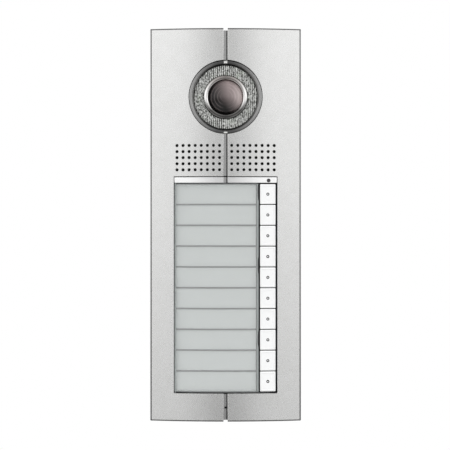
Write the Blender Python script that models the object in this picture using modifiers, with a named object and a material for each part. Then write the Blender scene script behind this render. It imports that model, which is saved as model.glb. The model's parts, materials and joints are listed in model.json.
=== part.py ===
"""Door intercom panel with camera, speaker, name cards and call buttons.

The panel hangs on a wall. The origin is the middle of its back face, +Z is up and the front looks
along -Y. Every dimension is in millimetres and is scaled to metres where a mesh is made. A place is
written (x, depth, z), where depth is the distance in front of the wall.
"""
import math

import bmesh
import bpy
from mathutils import Matrix, Vector

MM = 0.001
WELD = 0.00001
ROUND = 24

# Cover: a D-shaped shell whose face is part of a cylinder about a vertical axis
WIDTH = 150.0
HEIGHT = 390.0
CROWN = 38.0
BOW = 12.0
FACE_RADIUS = ((WIDTH / 2) ** 2 + BOW**2) / (2 * BOW)
COVER_REAR = 4.0
COVER_WALL = 2.5
COVER_END = 4.0
FACE_STEPS = 16
GROOVE_HALF = 2.1
GROOVE_FLOOR = 36.6
TOP_NOTCH = 2.4
BOTTOM_NOTCH = 1.8

# Grille and microphone
GRILLE_PITCH = 6.03
GRILLE_COLUMNS = 8
GRILLE_ROWS = 5
GRILLE_TOP = 78.7
GRILLE_HOLE = 1.5
MESH_Z = (52.0, 83.5)
SPEAKER_Z = 67.0
MIC_Z = -181.0
MIC_HOLE = 1.0

# Camera. The dome is part of a sphere about the point where the pan and tilt axes cross
CAMERA_Z = 126.8
CAMERA_HOLE = 36.7
GIMBAL_DEPTH = 19.3
CUP_INNER = 20.0
CUP_OUTER = 22.0
PIN = 1.2
PIN_BORE = 1.5
LED_COUNT = 12
LED_CIRCLE = 25.5
BEZEL_BORE = 31.8
BEZEL_OUTER = 36.4
BEZEL_FLANGE = 39.5
DOME_RADIUS = 20.7
DOME_RIM = 17.1
DOME_WALL = 1.2
DOME_STEPS = 3

# Opening with the name cards and the call buttons
OPENING_X = 51.4
OPENING_Z = (-167.2, 48.1)
ROWS = 10
ROW_TOP = 40.8
ROW_PITCH = 20.65
CARD_X = (-49.3, 30.0)
CARD_HEIGHT = 19.0
CARRIER_X = (-50.8, 32.4)
WINDOW_RIGHT = 32.6
WINDOW_FRONT = 0.4
WINDOW_BACK = 2.2
HINGE_X = -49.9
HINGE_OFFSET = (WINDOW_FRONT + WINDOW_BACK) / 2
STUB = 0.5
STUB_BORE = 0.7
BUTTON_X = (34.2, 49.6)
BUTTON_MIDDLE = sum(BUTTON_X) / 2
BUTTON_GAP = 0.9
LEG_Z = 7.0
LEG_HALF = (1.0, 0.6)
LEG_PLAY = 0.4
DIRECTORY_Z = (ROW_TOP - ROWS * ROW_PITCH - 0.4, ROW_TOP + 0.2)
HEADER_Z = (41.7, 47.3)
FINGER_NOTCHES = (32.5, -40.0, -113.0)
NOTCH_RADIUS = 27.0
NOTCH_BITE = 1.2
SENSOR = (42.7, 44.0)

# Back box and chassis
BOX_X = 71.7
BOX_Z = 190.2
BOX_WALL = 2.5
BOX_FRONT = 23.0
FLANGE_X = 74.6
FLANGE_Z = 194.4
FLANGE_FRONT = 3.2
GASKET_OUTER = (70.0, 189.0)
GASKET_INNER = (64.0, 183.0)
GASKET_PLAY = 0.3
BOSSES = [(x, z) for x in (-62.0, 62.0) for z in (-179.0, 179.0)]
STANDOFFS = [(x, z) for x in (-50.0, 50.0) for z in (-110.0, 80.0)]
FIXING_SLOTS = [(x, z) for x in (-45.0, 45.0) for z in (-165.0, 165.0)]
CABLE_Z = -150.0
CABLE_HOLE = 11.0
CHASSIS_HALF = (68.7, 187.2)
CHASSIS_DEPTH = (13.0, 15.0)
HOOK_X = (30.0, 42.0)
HOOK_SLOT_PLAY = 1.0
SCREW_DEPTH = 14.0
TRIMMER_X = 60.0
TRIMMERS = {"volume_trimmer_speaker": 20.0, "volume_trimmer_mic": 5.0}
TAMPER = (-60.0, -20.0)


# ---- places and outlines -------------------------------------------------------------------------

def face_depth(x, offset=0.0):
    """Depth of the curved face, or of a surface set back from it by an offset."""
    return CROWN - FACE_RADIUS + math.sqrt((FACE_RADIUS - offset) ** 2 - x**2)


def face_arc(x_from, x_to, offset, steps):
    """Points (x, depth) along the face, or along a surface set back from it."""
    places = [x_from + (x_to - x_from) * step / steps for step in range(steps + 1)]
    return [(x, face_depth(x, offset)) for x in places]


def circle(radius, centre=(0.0, 0.0), sides=ROUND):
    """Points round a circle."""
    turns = [2 * math.pi * side / sides for side in range(sides)]
    return [(centre[0] + radius * math.cos(t), centre[1] + radius * math.sin(t)) for t in turns]


def rectangle(x, z):
    """The corners of a rectangle from its two x values and its two heights."""
    return [(x[0], z[0]), (x[1], z[0]), (x[1], z[1]), (x[0], z[1])]


def around(centre, half_width, half_height):
    """The corners of a rectangle about a point."""
    x, z = centre
    return rectangle((x - half_width, x + half_width), (z - half_height, z + half_height))


def world(x, depth, z):
    """A place in metres."""
    return Vector((x, -depth, z)) * MM


def row_middle(row):
    """Height of the middle of one row of the directory, counted from the top."""
    return ROW_TOP - ROW_PITCH * (row + 0.5)


# ---- objects -------------------------------------------------------------------------------------

def material(name, colour, roughness, metallic=0.0, alpha=1.0):
    """A Principled BSDF with one colour."""
    made = bpy.data.materials.new(name)
    made.use_nodes = True
    shader = made.node_tree.nodes["Principled BSDF"]
    shader.inputs["Base Color"].default_value = (*colour, 1.0)
    shader.inputs["Roughness"].default_value = roughness
    shader.inputs["Metallic"].default_value = metallic
    shader.inputs["Alpha"].default_value = alpha
    return made


def add(name, mesh, finish):
    """Put a mesh in the scene: a part if it has a finish, or else a hidden cutter."""
    made = bpy.data.objects.new(name, mesh)
    if finish is None:
        made.hide_render = True
        made.display_type = "WIRE"
        CUTTERS.objects.link(made)
        return made
    PARTS.objects.link(made)
    if not mesh.materials:
        mesh.materials.append(finish)
    return made


def settle(name, bm, finish, origin=None):
    """Make an object of a bmesh in world space, with its origin at a place or at its own middle."""
    if origin is None:
        corners = [[v.co[axis] for v in bm.verts] for axis in range(3)]
        origin = Vector([(min(values) + max(values)) / 2 for values in corners])
    bmesh.ops.translate(bm, verts=bm.verts, vec=-origin)
    mesh = bpy.data.meshes.new(name)
    bm.to_mesh(mesh)
    bm.free()
    made = add(name, mesh, finish)
    made.location = origin
    return made


def block(name, *boxes, finish=None, origin=None):
    """One or more boxes, each given by its two x values, two depths and two heights."""
    bm = bmesh.new()
    for x, depth, z in boxes:
        middle = world(sum(x) / 2, sum(depth) / 2, sum(z) / 2)
        size = Vector((x[1] - x[0], depth[1] - depth[0], z[1] - z[0])) * MM
        bmesh.ops.create_cube(bm, size=1.0, matrix=Matrix.Translation(middle) @ Matrix.Diagonal((*size, 1.0)))
    return settle(name, bm, finish, origin)


def rods(name, radius, ends, centres, along="depth", sides=12, finish=None, origin=None):
    """Round bars of one size between two places along x, depth or z, each about its own centre."""
    turn = {
        "x": Matrix.Rotation(math.pi / 2, 4, "Y"),
        "depth": Matrix.Rotation(math.pi / 2, 4, "X"),
        "z": Matrix.Identity(4),
    }[along]
    middle = sum(ends) / 2
    bm = bmesh.new()
    for one, other in centres:
        place = {"x": (middle, one, other), "depth": (one, middle, other), "z": (one, other, middle)}[along]
        bmesh.ops.create_cone(
            bm, cap_ends=True, segments=sides, radius1=radius * MM, radius2=radius * MM,
            depth=(ends[1] - ends[0]) * MM, matrix=Matrix.Translation(world(*place)) @ turn,
        )
    return settle(name, bm, finish, origin)


def turned(name, profile, centre=(0.0, 0.0), sides=ROUND, finish=None, upright=False):
    """Sweep (radius, height) points round an axis, which stands out of the wall unless it is upright.

    The points run down the outer side. They close into a ring unless they begin on the axis.
    """
    points = [(radius * MM, 0.0, height * MM) for radius, height in profile]
    edges = [(n, n + 1) for n in range(len(points) - 1)]
    if profile[0][0] > 0:
        edges.append((len(points) - 1, 0))
    mesh = bpy.data.meshes.new(name)
    mesh.from_pydata(points, edges, [])
    made = add(name, mesh, finish)
    sweep = made.modifiers.new("turn", "SCREW")
    sweep.steps = sides
    sweep.render_steps = sides
    sweep.use_merge_vertices = True
    sweep.merge_threshold = WELD
    if upright:
        made.location = world(centre[0], centre[1], 0.0)
    else:
        made.location = world(centre[0], 0.0, centre[1])
        made.rotation_euler = (math.pi / 2, 0.0, 0.0)
    return made


def extruded(name, loops, ends, finish=None, upright=False, origin=None):
    """Extrude a flat outline with holes between two depths, or between two heights if it is upright.

    An upright outline is a section of (x, depth) points, and any other is a front view of (x, z).
    """
    curve = bpy.data.curves.new(name, "CURVE")
    curve.dimensions = "2D"
    curve.fill_mode = "BOTH"
    curve.extrude = (ends[1] - ends[0]) / 2 * MM
    for loop in loops:
        spline = curve.splines.new("POLY")
        spline.points.add(len(loop) - 1)
        for corner, (x, other) in zip(spline.points, loop):
            corner.co = (x * MM, (-other if upright else other) * MM, 0.0, 1.0)
        spline.use_cyclic_u = True
    drawn = bpy.data.objects.new(name, curve)
    bpy.context.scene.collection.objects.link(drawn)
    middle = sum(ends) / 2
    if upright:
        drawn.location = world(0.0, 0.0, middle)
    else:
        drawn.location = world(0.0, middle, 0.0)
        drawn.rotation_euler = (math.pi / 2, 0.0, 0.0)
    mesh = solid_mesh(drawn)
    place = drawn.matrix_world.copy()
    bpy.data.objects.remove(drawn)
    bm = bmesh.new()
    bm.from_mesh(mesh)
    bpy.data.meshes.remove(mesh)
    bmesh.ops.transform(bm, matrix=place, verts=bm.verts)
    bmesh.ops.remove_doubles(bm, verts=bm.verts, dist=WELD)
    bmesh.ops.recalc_face_normals(bm, faces=bm.faces)
    return settle(name, bm, finish, origin)


def solid_mesh(source):
    """The mesh of an object with its modifiers, as a mesh of its own."""
    bpy.context.view_layer.update()
    evaluated = source.evaluated_get(bpy.context.evaluated_depsgraph_get())
    return bpy.data.meshes.new_from_object(evaluated)


def curved_slab(name, x, z, front, back, steps=10, finish=None, origin=None):
    """A slab that follows the face between two offsets from it."""
    section = face_arc(x[0], x[1], front, steps) + face_arc(x[1], x[0], back, steps)
    return extruded(name, [section], z, finish, upright=True, origin=origin)


def cut(target, *cutters):
    """Take each cutter's shape away from a part."""
    for cutter in cutters:
        boolean = target.modifiers.new(cutter.name, "BOOLEAN")
        boolean.operation = "DIFFERENCE"
        boolean.solver = "EXACT"
        boolean.object = cutter


def join(target, *others):
    """Add each hidden shape to a part."""
    for other in others:
        boolean = target.modifiers.new(other.name, "BOOLEAN")
        boolean.operation = "UNION"
        boolean.solver = "EXACT"
        boolean.object = other


def pivot(name, place, parent=None):
    """An empty on a joint's axis."""
    made = bpy.data.objects.new(name, None)
    made.empty_display_size = 10 * MM
    PARTS.objects.link(made)
    made.location = place
    if parent is not None:
        hang(parent, made)
    return made


def hang(parent, *children):
    """Parent objects to an empty and keep them where they are."""
    bpy.context.view_layer.update()
    for child in children:
        child.parent = parent
        child.matrix_parent_inverse = parent.matrix_world.inverted()


def copies(source, places):
    """Replace a pattern with objects that share its finished mesh, each at its own place."""
    mesh = solid_mesh(source)
    rotation = source.rotation_euler.copy()
    bpy.data.objects.remove(source)
    for name, place in places.items():
        piece = bpy.data.objects.new(name, mesh)
        piece.location = place
        piece.rotation_euler = rotation
        PARTS.objects.link(piece)


# ---- back box and chassis ------------------------------------------------------------------------

def make_back_box():
    """Surface box screwed to the wall, with bosses, a cable hole and slots for the cover's hooks."""
    box = block("back_box", ((-FLANGE_X, FLANGE_X), (0.0, FLANGE_FRONT), (-FLANGE_Z, FLANGE_Z)), finish=GREY_PLASTIC)
    inside_x = BOX_X - BOX_WALL
    inside_z = BOX_Z - BOX_WALL
    outer = around((0, 0), GASKET_OUTER[0] + GASKET_PLAY, GASKET_OUTER[1] + GASKET_PLAY)
    inner = around((0, 0), GASKET_INNER[0] - GASKET_PLAY, GASKET_INNER[1] - GASKET_PLAY)
    hook_ends = [sorted((side * HOOK_X[0], side * HOOK_X[1])) for side in (-1, 1)]
    hook_slots = [
        ((x[0] - HOOK_SLOT_PLAY, x[1] + HOOK_SLOT_PLAY), (4.0, 12.5), (BOX_Z - 4, BOX_Z + 1)) for x in hook_ends
    ]
    join(box, block("add_walls", ((-BOX_X, BOX_X), (1.0, BOX_FRONT), (-BOX_Z, BOX_Z))))
    cut(box, block("cut_cavity", ((-inside_x, inside_x), (BOX_WALL, 30.0), (-inside_z, inside_z))))
    join(box, rods("add_bosses", 4.0, (1.5, 12.6), BOSSES), rods("add_standoffs", 3.0, (1.5, 6.7), STANDOFFS, sides=8))
    cut(
        box,
        rods("cut_pilots", 1.6, (4.0, 14.0), BOSSES, sides=8),
        rods("cut_cable_hole", CABLE_HOLE, (-1.0, 4.0), [(0.0, CABLE_Z)], sides=24),
        extruded("cut_fixing_slots", [around(place, 2.0, 4.0) for place in FIXING_SLOTS], (-1.0, 4.0)),
        extruded("cut_gasket_recess", [outer, inner], (-1.0, 1.0)),
        block("cut_hook_slots", *hook_slots),
        block("cut_screw_notch", ((-2.0, 2.0), (11.0, 25.0), (-BOX_Z - 1, -BOX_Z + 4))),
    )


def make_wall_gasket():
    rings = [around((0, 0), *GASKET_OUTER), around((0, 0), *GASKET_INNER)]
    extruded("wall_gasket", rings, (0.1, 0.7), finish=RUBBER)


def make_cable_grommet():
    bore = CABLE_HOLE - 5.0
    neck = CABLE_HOLE - 0.3
    profile = [(bore, 4.2), (neck + 2.3, 4.2), (neck + 2.3, 2.8), (neck, 2.8), (neck, 0.3), (bore, 0.3)]
    turned("cable_grommet", profile, (0.0, CABLE_Z), sides=20, finish=RUBBER)


def make_main_board():
    extruded("main_board", [rectangle((-60.0, 66.0), (-120.0, 90.0))], (7.0, 8.6), finish=BOARD)


def make_terminal_block():
    block_body = block("terminal_block", ((-20.0, 20.0), (8.9, 19.5), (-112.0, -100.0)), finish=GREEN_PLASTIC)
    entries = [(x, 12.0) for x in (-15.0, -5.0, 5.0, 15.0)]
    screws = [(x, -106.0) for x, _ in entries]
    mouths = [((x - 2.2, x + 2.2), (9.9, 14.3), (-113.0, -107.5)) for x, _ in entries]
    cut(block_body, block("cut_wire_entries", *mouths), rods("cut_clamp_screws", 1.8, (17.0, 21.0), screws, sides=8))


def make_chassis_plate():
    """Steel plate that carries the modules, with collars round the volume trimmers and a mic post."""
    half_x, half_z = CHASSIS_HALF
    plate = block("chassis_plate", ((-half_x, half_x), CHASSIS_DEPTH, (-half_z, half_z)), finish=STEEL)
    trimmers = [(TRIMMER_X, z) for z in TRIMMERS.values()]
    join(
        plate,
        rods("add_mic_post", 5.0, (14.0, 25.7), [(0.0, MIC_Z)], sides=16),
        rods("add_collars", 6.2, (14.0, 17.4), trimmers, sides=16),
    )
    cut(
        plate,
        rods("cut_trimmer_holes", 4.4, (12.0, 19.0), trimmers, sides=16),
        rods("cut_camera_cup_hole", 24.0, (12.0, 16.0), [(0.0, CAMERA_Z)], sides=ROUND),
        rods("cut_plate_screws", 1.9, (12.0, 16.0), BOSSES, sides=8),
        block("cut_terminal_hole", ((-21.5, 21.5), (12.0, 16.0), (-113.5, -98.5))),
    )


def make_chassis_screws():
    profile = [(0.0, 17.0), (2.2, 17.0), (3.0, 16.4), (3.0, 15.3), (1.25, 15.3), (1.25, 5.0), (0.0, 5.0)]
    pattern = turned("chassis_screw", profile, sides=12, finish=STEEL)
    cut(pattern, block("cut_slot", ((-3.5, 3.5), (16.2, 18.0), (-0.4, 0.4))))
    copies(pattern, {f"chassis_screw_{n + 1}": world(x, 0.0, z) for n, (x, z) in enumerate(BOSSES)})


# ---- camera --------------------------------------------------------------------------------------

def make_camera_housing():
    """Cup behind the dome, with a flange on the chassis plate and bores for the pan ring's pins."""
    profile = [
        (CUP_OUTER, 23.7), (CUP_OUTER, 17.3), (31.0, 17.3), (31.0, 15.3), (CUP_OUTER, 15.3),
        (CUP_OUTER, 4.3), (0.0, 4.3),
    ]
    profile = [(0.0, 6.0), (CUP_INNER, 6.0), (CUP_INNER, 23.7)] + profile
    cup = turned("camera_housing", profile, (0.0, CAMERA_Z), finish=BLACK_PLASTIC)
    span = (CAMERA_Z - CUP_OUTER - 1, CAMERA_Z + CUP_OUTER + 1)
    cut(cup, rods("cut_pan_bores", PIN_BORE, span, [(0.0, GIMBAL_DEPTH)], along="z"))


def make_gimbal():
    """Ring that pans about its upright pins, and the barrel that tilts in it about level pins."""
    centre = (0.0, CAMERA_Z)
    middle = world(0.0, GIMBAL_DEPTH, CAMERA_Z)
    ring = extruded(
        "camera_pan_ring", [circle(16.0, centre), circle(12.4, centre)],
        (GIMBAL_DEPTH - 3, GIMBAL_DEPTH + 3), finish=BLACK_PLASTIC, origin=middle,
    )
    for side, name in ((-1, "add_lower_pin"), (1, "add_upper_pin")):
        ends = sorted((CAMERA_Z + side * 14.5, CAMERA_Z + side * 21.4))
        join(ring, rods(name, PIN, ends, [(0.0, GIMBAL_DEPTH)], along="z", sides=10))
    cut(ring, rods("cut_tilt_bores", PIN_BORE, (-17.0, 17.0), [(GIMBAL_DEPTH, CAMERA_Z)], along="x"))

    profile = [
        (0.0, 31.0), (5.8, 31.0), (5.8, 33.0), (7.0, 33.0), (7.0, 26.0), (10.0, 26.0), (10.0, 10.0), (0.0, 10.0),
    ]
    barrel = turned("camera_barrel", profile, centre, sides=16, finish=BLACK_PLASTIC)
    for side, name in ((-1, "add_left_pin"), (1, "add_right_pin")):
        ends = sorted((side * 8.5, side * 14.2))
        join(barrel, rods(name, PIN, ends, [(GIMBAL_DEPTH, CAMERA_Z)], along="x", sides=10))
    profile = [(0.0, 33.5), (2.5, 33.3), (4.5, 32.7), (5.4, 32.0), (5.4, 31.3), (0.0, 31.3)]
    lens = turned("camera_lens", profile, centre, sides=16, finish=LENS_GLASS)

    pan = pivot("camera_pan_axis", middle)
    tilt = pivot("camera_tilt_axis", middle, pan)
    hang(pan, ring)
    hang(tilt, barrel, lens)


def make_led_board():
    centre = (0.0, CAMERA_Z)
    board = extruded("led_board", [circle(36.0, centre), circle(17.6, centre)], (24.0, 25.6), finish=BOARD)
    lamps = circle(LED_CIRCLE, centre, LED_COUNT)
    join(board, rods("add_lamps", 1.6, (25.0, 27.6), lamps, sides=6))


def make_camera_front():
    """Diffuser, chrome ring, dome and seal, all turned about the camera's axis."""
    centre = (0.0, CAMERA_Z)
    profile = [(21.9, 31.5), (30.9, 31.5), (30.9, 26.0), (29.4, 26.0), (29.4, 29.5), (21.9, 29.5)]
    turned("diffuser_ring", profile, centre, finish=PRISM)
    profile = [(17.4, 34.0), (18.6, 34.5), (20.6, 34.0), (21.6, 32.4), (21.6, 27.9), (17.4, 27.9)]
    turned("lens_ring", profile, centre, finish=CHROME)
    turned("dome_window", dome_profile(), centre, finish=SMOKED_GLASS)
    turned("camera_seal", [(31.3, 30.3), (35.0, 30.3), (35.0, 26.0), (31.3, 26.0)], centre, finish=RUBBER)


def dome_profile():
    """A domed cap on a short skirt with a flange: down the outer side and up the inner one."""
    inner_radius, bore = DOME_RADIUS - DOME_WALL, DOME_RIM - DOME_WALL
    outer_end = math.asin(DOME_RIM / DOME_RADIUS)
    inner_end = math.asin(bore / inner_radius)
    outer = [outer_end * step / DOME_STEPS for step in range(DOME_STEPS + 1)]
    inner = [inner_end * step / DOME_STEPS for step in range(DOME_STEPS, -1, -1)]
    profile = [(DOME_RADIUS * math.sin(a), GIMBAL_DEPTH + DOME_RADIUS * math.cos(a)) for a in outer]
    profile += [(DOME_RIM, 27.5), (20.5, 27.5), (20.5, 26.0), (bore, 26.0)]
    profile += [(inner_radius * math.sin(a), GIMBAL_DEPTH + inner_radius * math.cos(a)) for a in inner]
    return profile


def make_camera_bezel():
    """Dark ring held in the cover's round hole, notched where the cover's groove meets it."""
    profile = [
        (BEZEL_BORE, 32.6), (32.4, 33.2), (33.7, 35.3), (35.8, 35.3), (BEZEL_OUTER, 34.7), (BEZEL_OUTER, 31.9),
        (BEZEL_FLANGE, 31.9), (BEZEL_FLANGE, 30.6), (BEZEL_BORE, 30.6),
    ]
    bezel = turned("camera_bezel", profile, (0.0, CAMERA_Z), finish=DARK_METAL)
    notch = block("cut_bezel_notches", ((-GROOVE_HALF, GROOVE_HALF), (32.4, 37.0), (CAMERA_Z - 45, CAMERA_Z + 45)))
    cut(bezel, notch)
    return bezel


# ---- sound ---------------------------------------------------------------------------------------

def make_speaker():
    centre = (0.0, SPEAKER_Z)
    rods("speaker_magnet", 11.0, (15.5, 21.0), [centre], sides=16, finish=STEEL)
    profile = [(17.1, 30.0), (20.0, 30.0), (20.0, 27.5), (14.0, 21.3), (0.0, 21.3)]
    profile = [(0.0, 23.3), (13.0, 23.3), (17.1, 27.8)] + profile
    turned("speaker_frame", profile, centre, sides=16, finish=STEEL)
    profile = [
        (0.0, 26.5), (5.0, 25.6), (14.0, 29.0), (16.8, 29.0), (16.8, 28.5), (14.0, 28.3), (6.0, 24.2), (0.0, 24.2),
    ]
    turned("speaker_cone", profile, centre, sides=16, finish=PAPER)


def make_microphone():
    centre = (0.0, MIC_Z)
    profile = [(0.0, 27.6), (3.3, 27.6), (3.3, 33.0), (5.0, 33.0), (5.0, 26.0), (0.0, 26.0)]
    turned("mic_boot", profile, centre, sides=16, finish=RUBBER)
    rods("mic_capsule", 3.0, (27.9, 32.4), [centre], sides=14, finish=ALUMINIUM)


# ---- directory and call buttons ------------------------------------------------------------------

def make_button_tray():
    """Tray on the chassis plate, open at its back, with an opening in front for the button legs."""
    x, z, front = (-50.6, 50.6), (-166.4, 42.0), 24.9
    tray = block("button_tray", (x, (15.4, front), z), finish=BLACK_PLASTIC)
    wall = 2.0
    hollow = ((x[0] + wall, x[1] - wall), (10.0, front - wall), (z[0] + wall, z[1] - wall))
    cut(tray, block("cut_tray_hollow", hollow))
    cut(tray, block("cut_tray_opening", ((36.0, 48.0), (20.0, 30.0), (-164.0, 39.0))))


def make_light_guide():
    left, right = CARRIER_X
    section = face_arc(left, right, 5.6, 10) + [(right, 25.3), (left, 25.3)]
    extruded("light_guide", [section], DIRECTORY_Z, finish=FROSTED, upright=True)


def make_card_carrier():
    carrier = curved_slab("card_carrier", CARRIER_X, DIRECTORY_Z, 2.6, 5.2, finish=PALE_GREY)
    x = (CARD_X[0] - 0.3, CARD_X[1] + 0.3)
    half = CARD_HEIGHT / 2 + 0.3
    for row in range(ROWS):
        middle = row_middle(row)
        cut(carrier, curved_slab("cut_pocket", x, (middle - half, middle + half), -2.0, 4.0, steps=6))


def make_name_cards():
    half = CARD_HEIGHT / 2
    pattern = curved_slab("name_card", CARD_X, (-half, half), 3.1, 3.5, steps=6, finish=CARD, origin=world(0, 0, 0))
    copies(pattern, {f"name_card_{row + 1:02d}": world(0, 0, row_middle(row)) for row in range(ROWS)})


def leg_places():
    """Front view of the middles of the button legs."""
    return [(BUTTON_MIDDLE, row_middle(row) + side * LEG_Z) for row in range(ROWS) for side in (-1, 1)]


def make_keypad():
    """Board and rubber mat under the buttons, both slotted for the button legs."""
    slots = [around(place, LEG_HALF[0] + LEG_PLAY, LEG_HALF[1] + LEG_PLAY) for place in leg_places()]
    outline = rectangle((32.8, 50.2), DIRECTORY_Z)
    extruded("keypad_board", [outline] + slots, (25.3, 26.9), finish=BOARD)
    mat = extruded("keypad_mat", [outline] + slots, (27.2, 28.0), finish=SILICONE)
    middles = [(BUTTON_MIDDLE, row_middle(row)) for row in range(ROWS)]
    join(mat, rods("add_domes", 4.0, (27.5, 29.0), middles, sides=8))


def make_call_buttons():
    """Curved caps, each with a stem over its rubber dome and two guide legs."""
    half = (ROW_PITCH - BUTTON_GAP) / 2
    home = world(BUTTON_MIDDLE, 0, 0)
    cap = curved_slab("call_button", BUTTON_X, (-half, half), -0.2, 3.4, steps=4, finish=WHITE, origin=home)
    leg_x = (BUTTON_MIDDLE - LEG_HALF[0], BUTTON_MIDDLE + LEG_HALF[0])
    legs = [(leg_x, (23.8, 32.5), (side * LEG_Z - LEG_HALF[1], side * LEG_Z + LEG_HALF[1])) for side in (-1, 1)]
    join(cap, block("add_legs", *legs), rods("add_stem", 2.5, (29.3, 32.5), [(BUTTON_MIDDLE, 0.0)]))
    names = {f"call_button_{row + 1:02d}": home + world(0, 0, row_middle(row)) for row in range(ROWS)}
    copies(cap, names)


def make_label_window():
    """Clear hinged window over the name cards, with stubs that turn in the header bar and the cover."""
    z = (DIRECTORY_Z[0] + 0.75, DIRECTORY_Z[1] - 0.4)
    mid_radius = FACE_RADIUS - HINGE_OFFSET
    thickness = WINDOW_BACK - WINDOW_FRONT
    start = math.asin(HINGE_X / mid_radius)
    end = math.asin(WINDOW_RIGHT / mid_radius)
    steps = 10

    def along(radius, angles):
        return [(radius * math.sin(a), CROWN - FACE_RADIUS + radius * math.cos(a)) for a in angles]

    angles = [start + (end - start) * step / steps for step in range(steps + 1)]
    axis = along(mid_radius, [start])[0]
    section = along(mid_radius + thickness / 2, angles) + along(mid_radius - thickness / 2, angles[::-1])
    bends = [start - math.pi * step / 6 for step in range(5, 0, -1)]
    section += [
        (axis[0] + thickness / 2 * math.sin(a), axis[1] + thickness / 2 * math.cos(a)) for a in bends
    ]
    origin = world(*axis, 0.0)
    window = extruded("label_window", [section], z, finish=CLEAR, upright=True, origin=origin)
    join(
        window,
        rods("add_top_stub", STUB, (z[1] - 1, 43.2), [axis], along="z", sides=8),
        rods("add_bottom_stub", STUB, (OPENING_Z[0] - 1.3, z[0] + 1), [axis], along="z", sides=8),
    )
    centres = [(WINDOW_RIGHT - NOTCH_BITE + NOTCH_RADIUS, notch) for notch in FINGER_NOTCHES]
    cut(window, rods("cut_finger_notches", NOTCH_RADIUS, (25.0, 45.0), centres, sides=48))
    return window, axis


# ---- cover ---------------------------------------------------------------------------------------

def make_front_cover(hinge):
    """D-shaped metal shell with its grille, groove, camera hole, opening and hooks."""
    half = WIDTH / 2
    section = face_arc(-half, half, 0.0, FACE_STEPS) + [(half, COVER_REAR), (-half, COVER_REAR)]
    cover = extruded("front_cover", [section], (-HEIGHT / 2, HEIGHT / 2), finish=ALUMINIUM, upright=True)
    inner = half - COVER_WALL
    section = face_arc(-inner, inner, COVER_WALL, FACE_STEPS) + [(inner, 0.0), (-inner, 0.0)]
    ends = (COVER_END - HEIGHT / 2, HEIGHT / 2 - COVER_END)
    cut(cover, extruded("cut_shell", [section], ends, upright=True))

    top, bottom = HEIGHT / 2, -HEIGHT / 2
    groove_x = (-GROOVE_HALF, GROOVE_HALF)
    cut(
        cover,
        block("cut_opening", ((-OPENING_X, OPENING_X), (20.0, 45.0), OPENING_Z)),
        rods("cut_camera_hole", CAMERA_HOLE, (20.0, 45.0), [(0.0, CAMERA_Z)], sides=ROUND),
        rods("cut_grille", GRILLE_HOLE, (28.0, 45.0), grille_holes(), sides=6),
        block("cut_groove", (groove_x, (GROOVE_FLOOR, 45.0), (bottom - 5, top + 5))),
        block("cut_top_notch", (groove_x, (0.0, 45.0), (top - TOP_NOTCH, top + 5))),
        block("cut_bottom_notch", (groove_x, (0.0, 45.0), (bottom - 5, bottom + BOTTOM_NOTCH))),
        rods("cut_mic_hole", MIC_HOLE, (30.0, 45.0), [(0.0, MIC_Z)], sides=8),
        rods("cut_screw_hole", 1.9, (bottom - 1, bottom + 6), [(0.0, SCREW_DEPTH)], along="z"),
        rods("cut_counterbore", 3.1, (bottom - 1, bottom + 2.6), [(0.0, SCREW_DEPTH)], along="z", sides=16),
        rods("cut_lower_pivot", STUB_BORE, (OPENING_Z[0] - 2.3, OPENING_Z[0] + 1.2), [hinge], along="z", sides=10),
    )
    for side in (-1, 1):
        x = sorted((side * HOOK_X[0], side * HOOK_X[1]))
        arm = block("add_hook_arm", (x, (4.5, 6.3), (top - 9.0, top - 3.0)))
        toe = block("add_hook_toe", (x, (2.8, 5.5), (top - 9.0, top - 7.6)))
        join(cover, arm, toe)
    return cover


def grille_holes():
    """Front view of the holes: two blocks of columns beside the groove."""
    columns = [side * GRILLE_PITCH * (n + 1) for side in (-1, 1) for n in range(GRILLE_COLUMNS)]
    return [(x, GRILLE_TOP - GRILLE_PITCH * row) for x in columns for row in range(GRILLE_ROWS)]


def make_header_bar(hinge):
    """Light bar above the name cards, with a flange behind the cover's face."""
    bar = curved_slab("header_bar", (-50.9, 50.9), HEADER_Z, 0.1, 3.3, finish=GLOSS_GREY)
    flange = curved_slab("add_flange", (-55.0, 55.0), (HEADER_Z[0], 51.5), 2.9, 4.4)
    join(bar, flange)
    cut(
        bar,
        block("cut_header_groove", ((-GROOVE_HALF, GROOVE_HALF), (GROOVE_FLOOR, 45.0), (40.0, 48.0))),
        rods("cut_sensor_hole", 1.9, (25.0, 45.0), [SENSOR]),
        rods("cut_upper_pivot", STUB_BORE, (40.0, 44.0), [hinge], along="z", sides=10),
    )
    return bar


def make_cover_fittings(hinge):
    """What the cover carries apart from the camera's bezel."""
    bar = make_header_bar(hinge)
    depth = face_depth(SENSOR[0])
    sensor = rods("sensor_window", 1.6, (depth - 3.5, depth - 0.4), [SENSOR], finish=SMOKED_GLASS)
    mesh = curved_slab("speaker_mesh", (-51.0, 51.0), MESH_Z, 2.8, 3.3, finish=CLOTH)
    head = -HEIGHT / 2
    profile = [(0.0, head + 7.2), (1.5, head + 7.2), (1.5, head + 2.3), (2.75, head + 2.3)]
    profile += [(2.75, head + 0.3), (0.0, head + 0.3)]
    screw = turned("security_screw", profile, (0.0, SCREW_DEPTH), sides=14, finish=STEEL, upright=True)
    socket = extruded("cut_socket", [circle(1.2, (0.0, SCREW_DEPTH), 6)], (head - 1, head + 1.5), upright=True)
    cut(screw, socket)
    return [bar, sensor, mesh, screw]


def make_cover_assembly():
    """The cover swings up about its top rear edge, and the label window swings on the cover."""
    window, hinge = make_label_window()
    pieces = [make_front_cover(hinge), make_camera_bezel(), *make_cover_fittings(hinge)]
    cover_axis = pivot("cover_axis", world(0.0, COVER_REAR, HEIGHT / 2))
    window_axis = pivot("label_window_axis", world(*hinge, 0.0), cover_axis)
    hang(cover_axis, *pieces)
    hang(window_axis, window)


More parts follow.
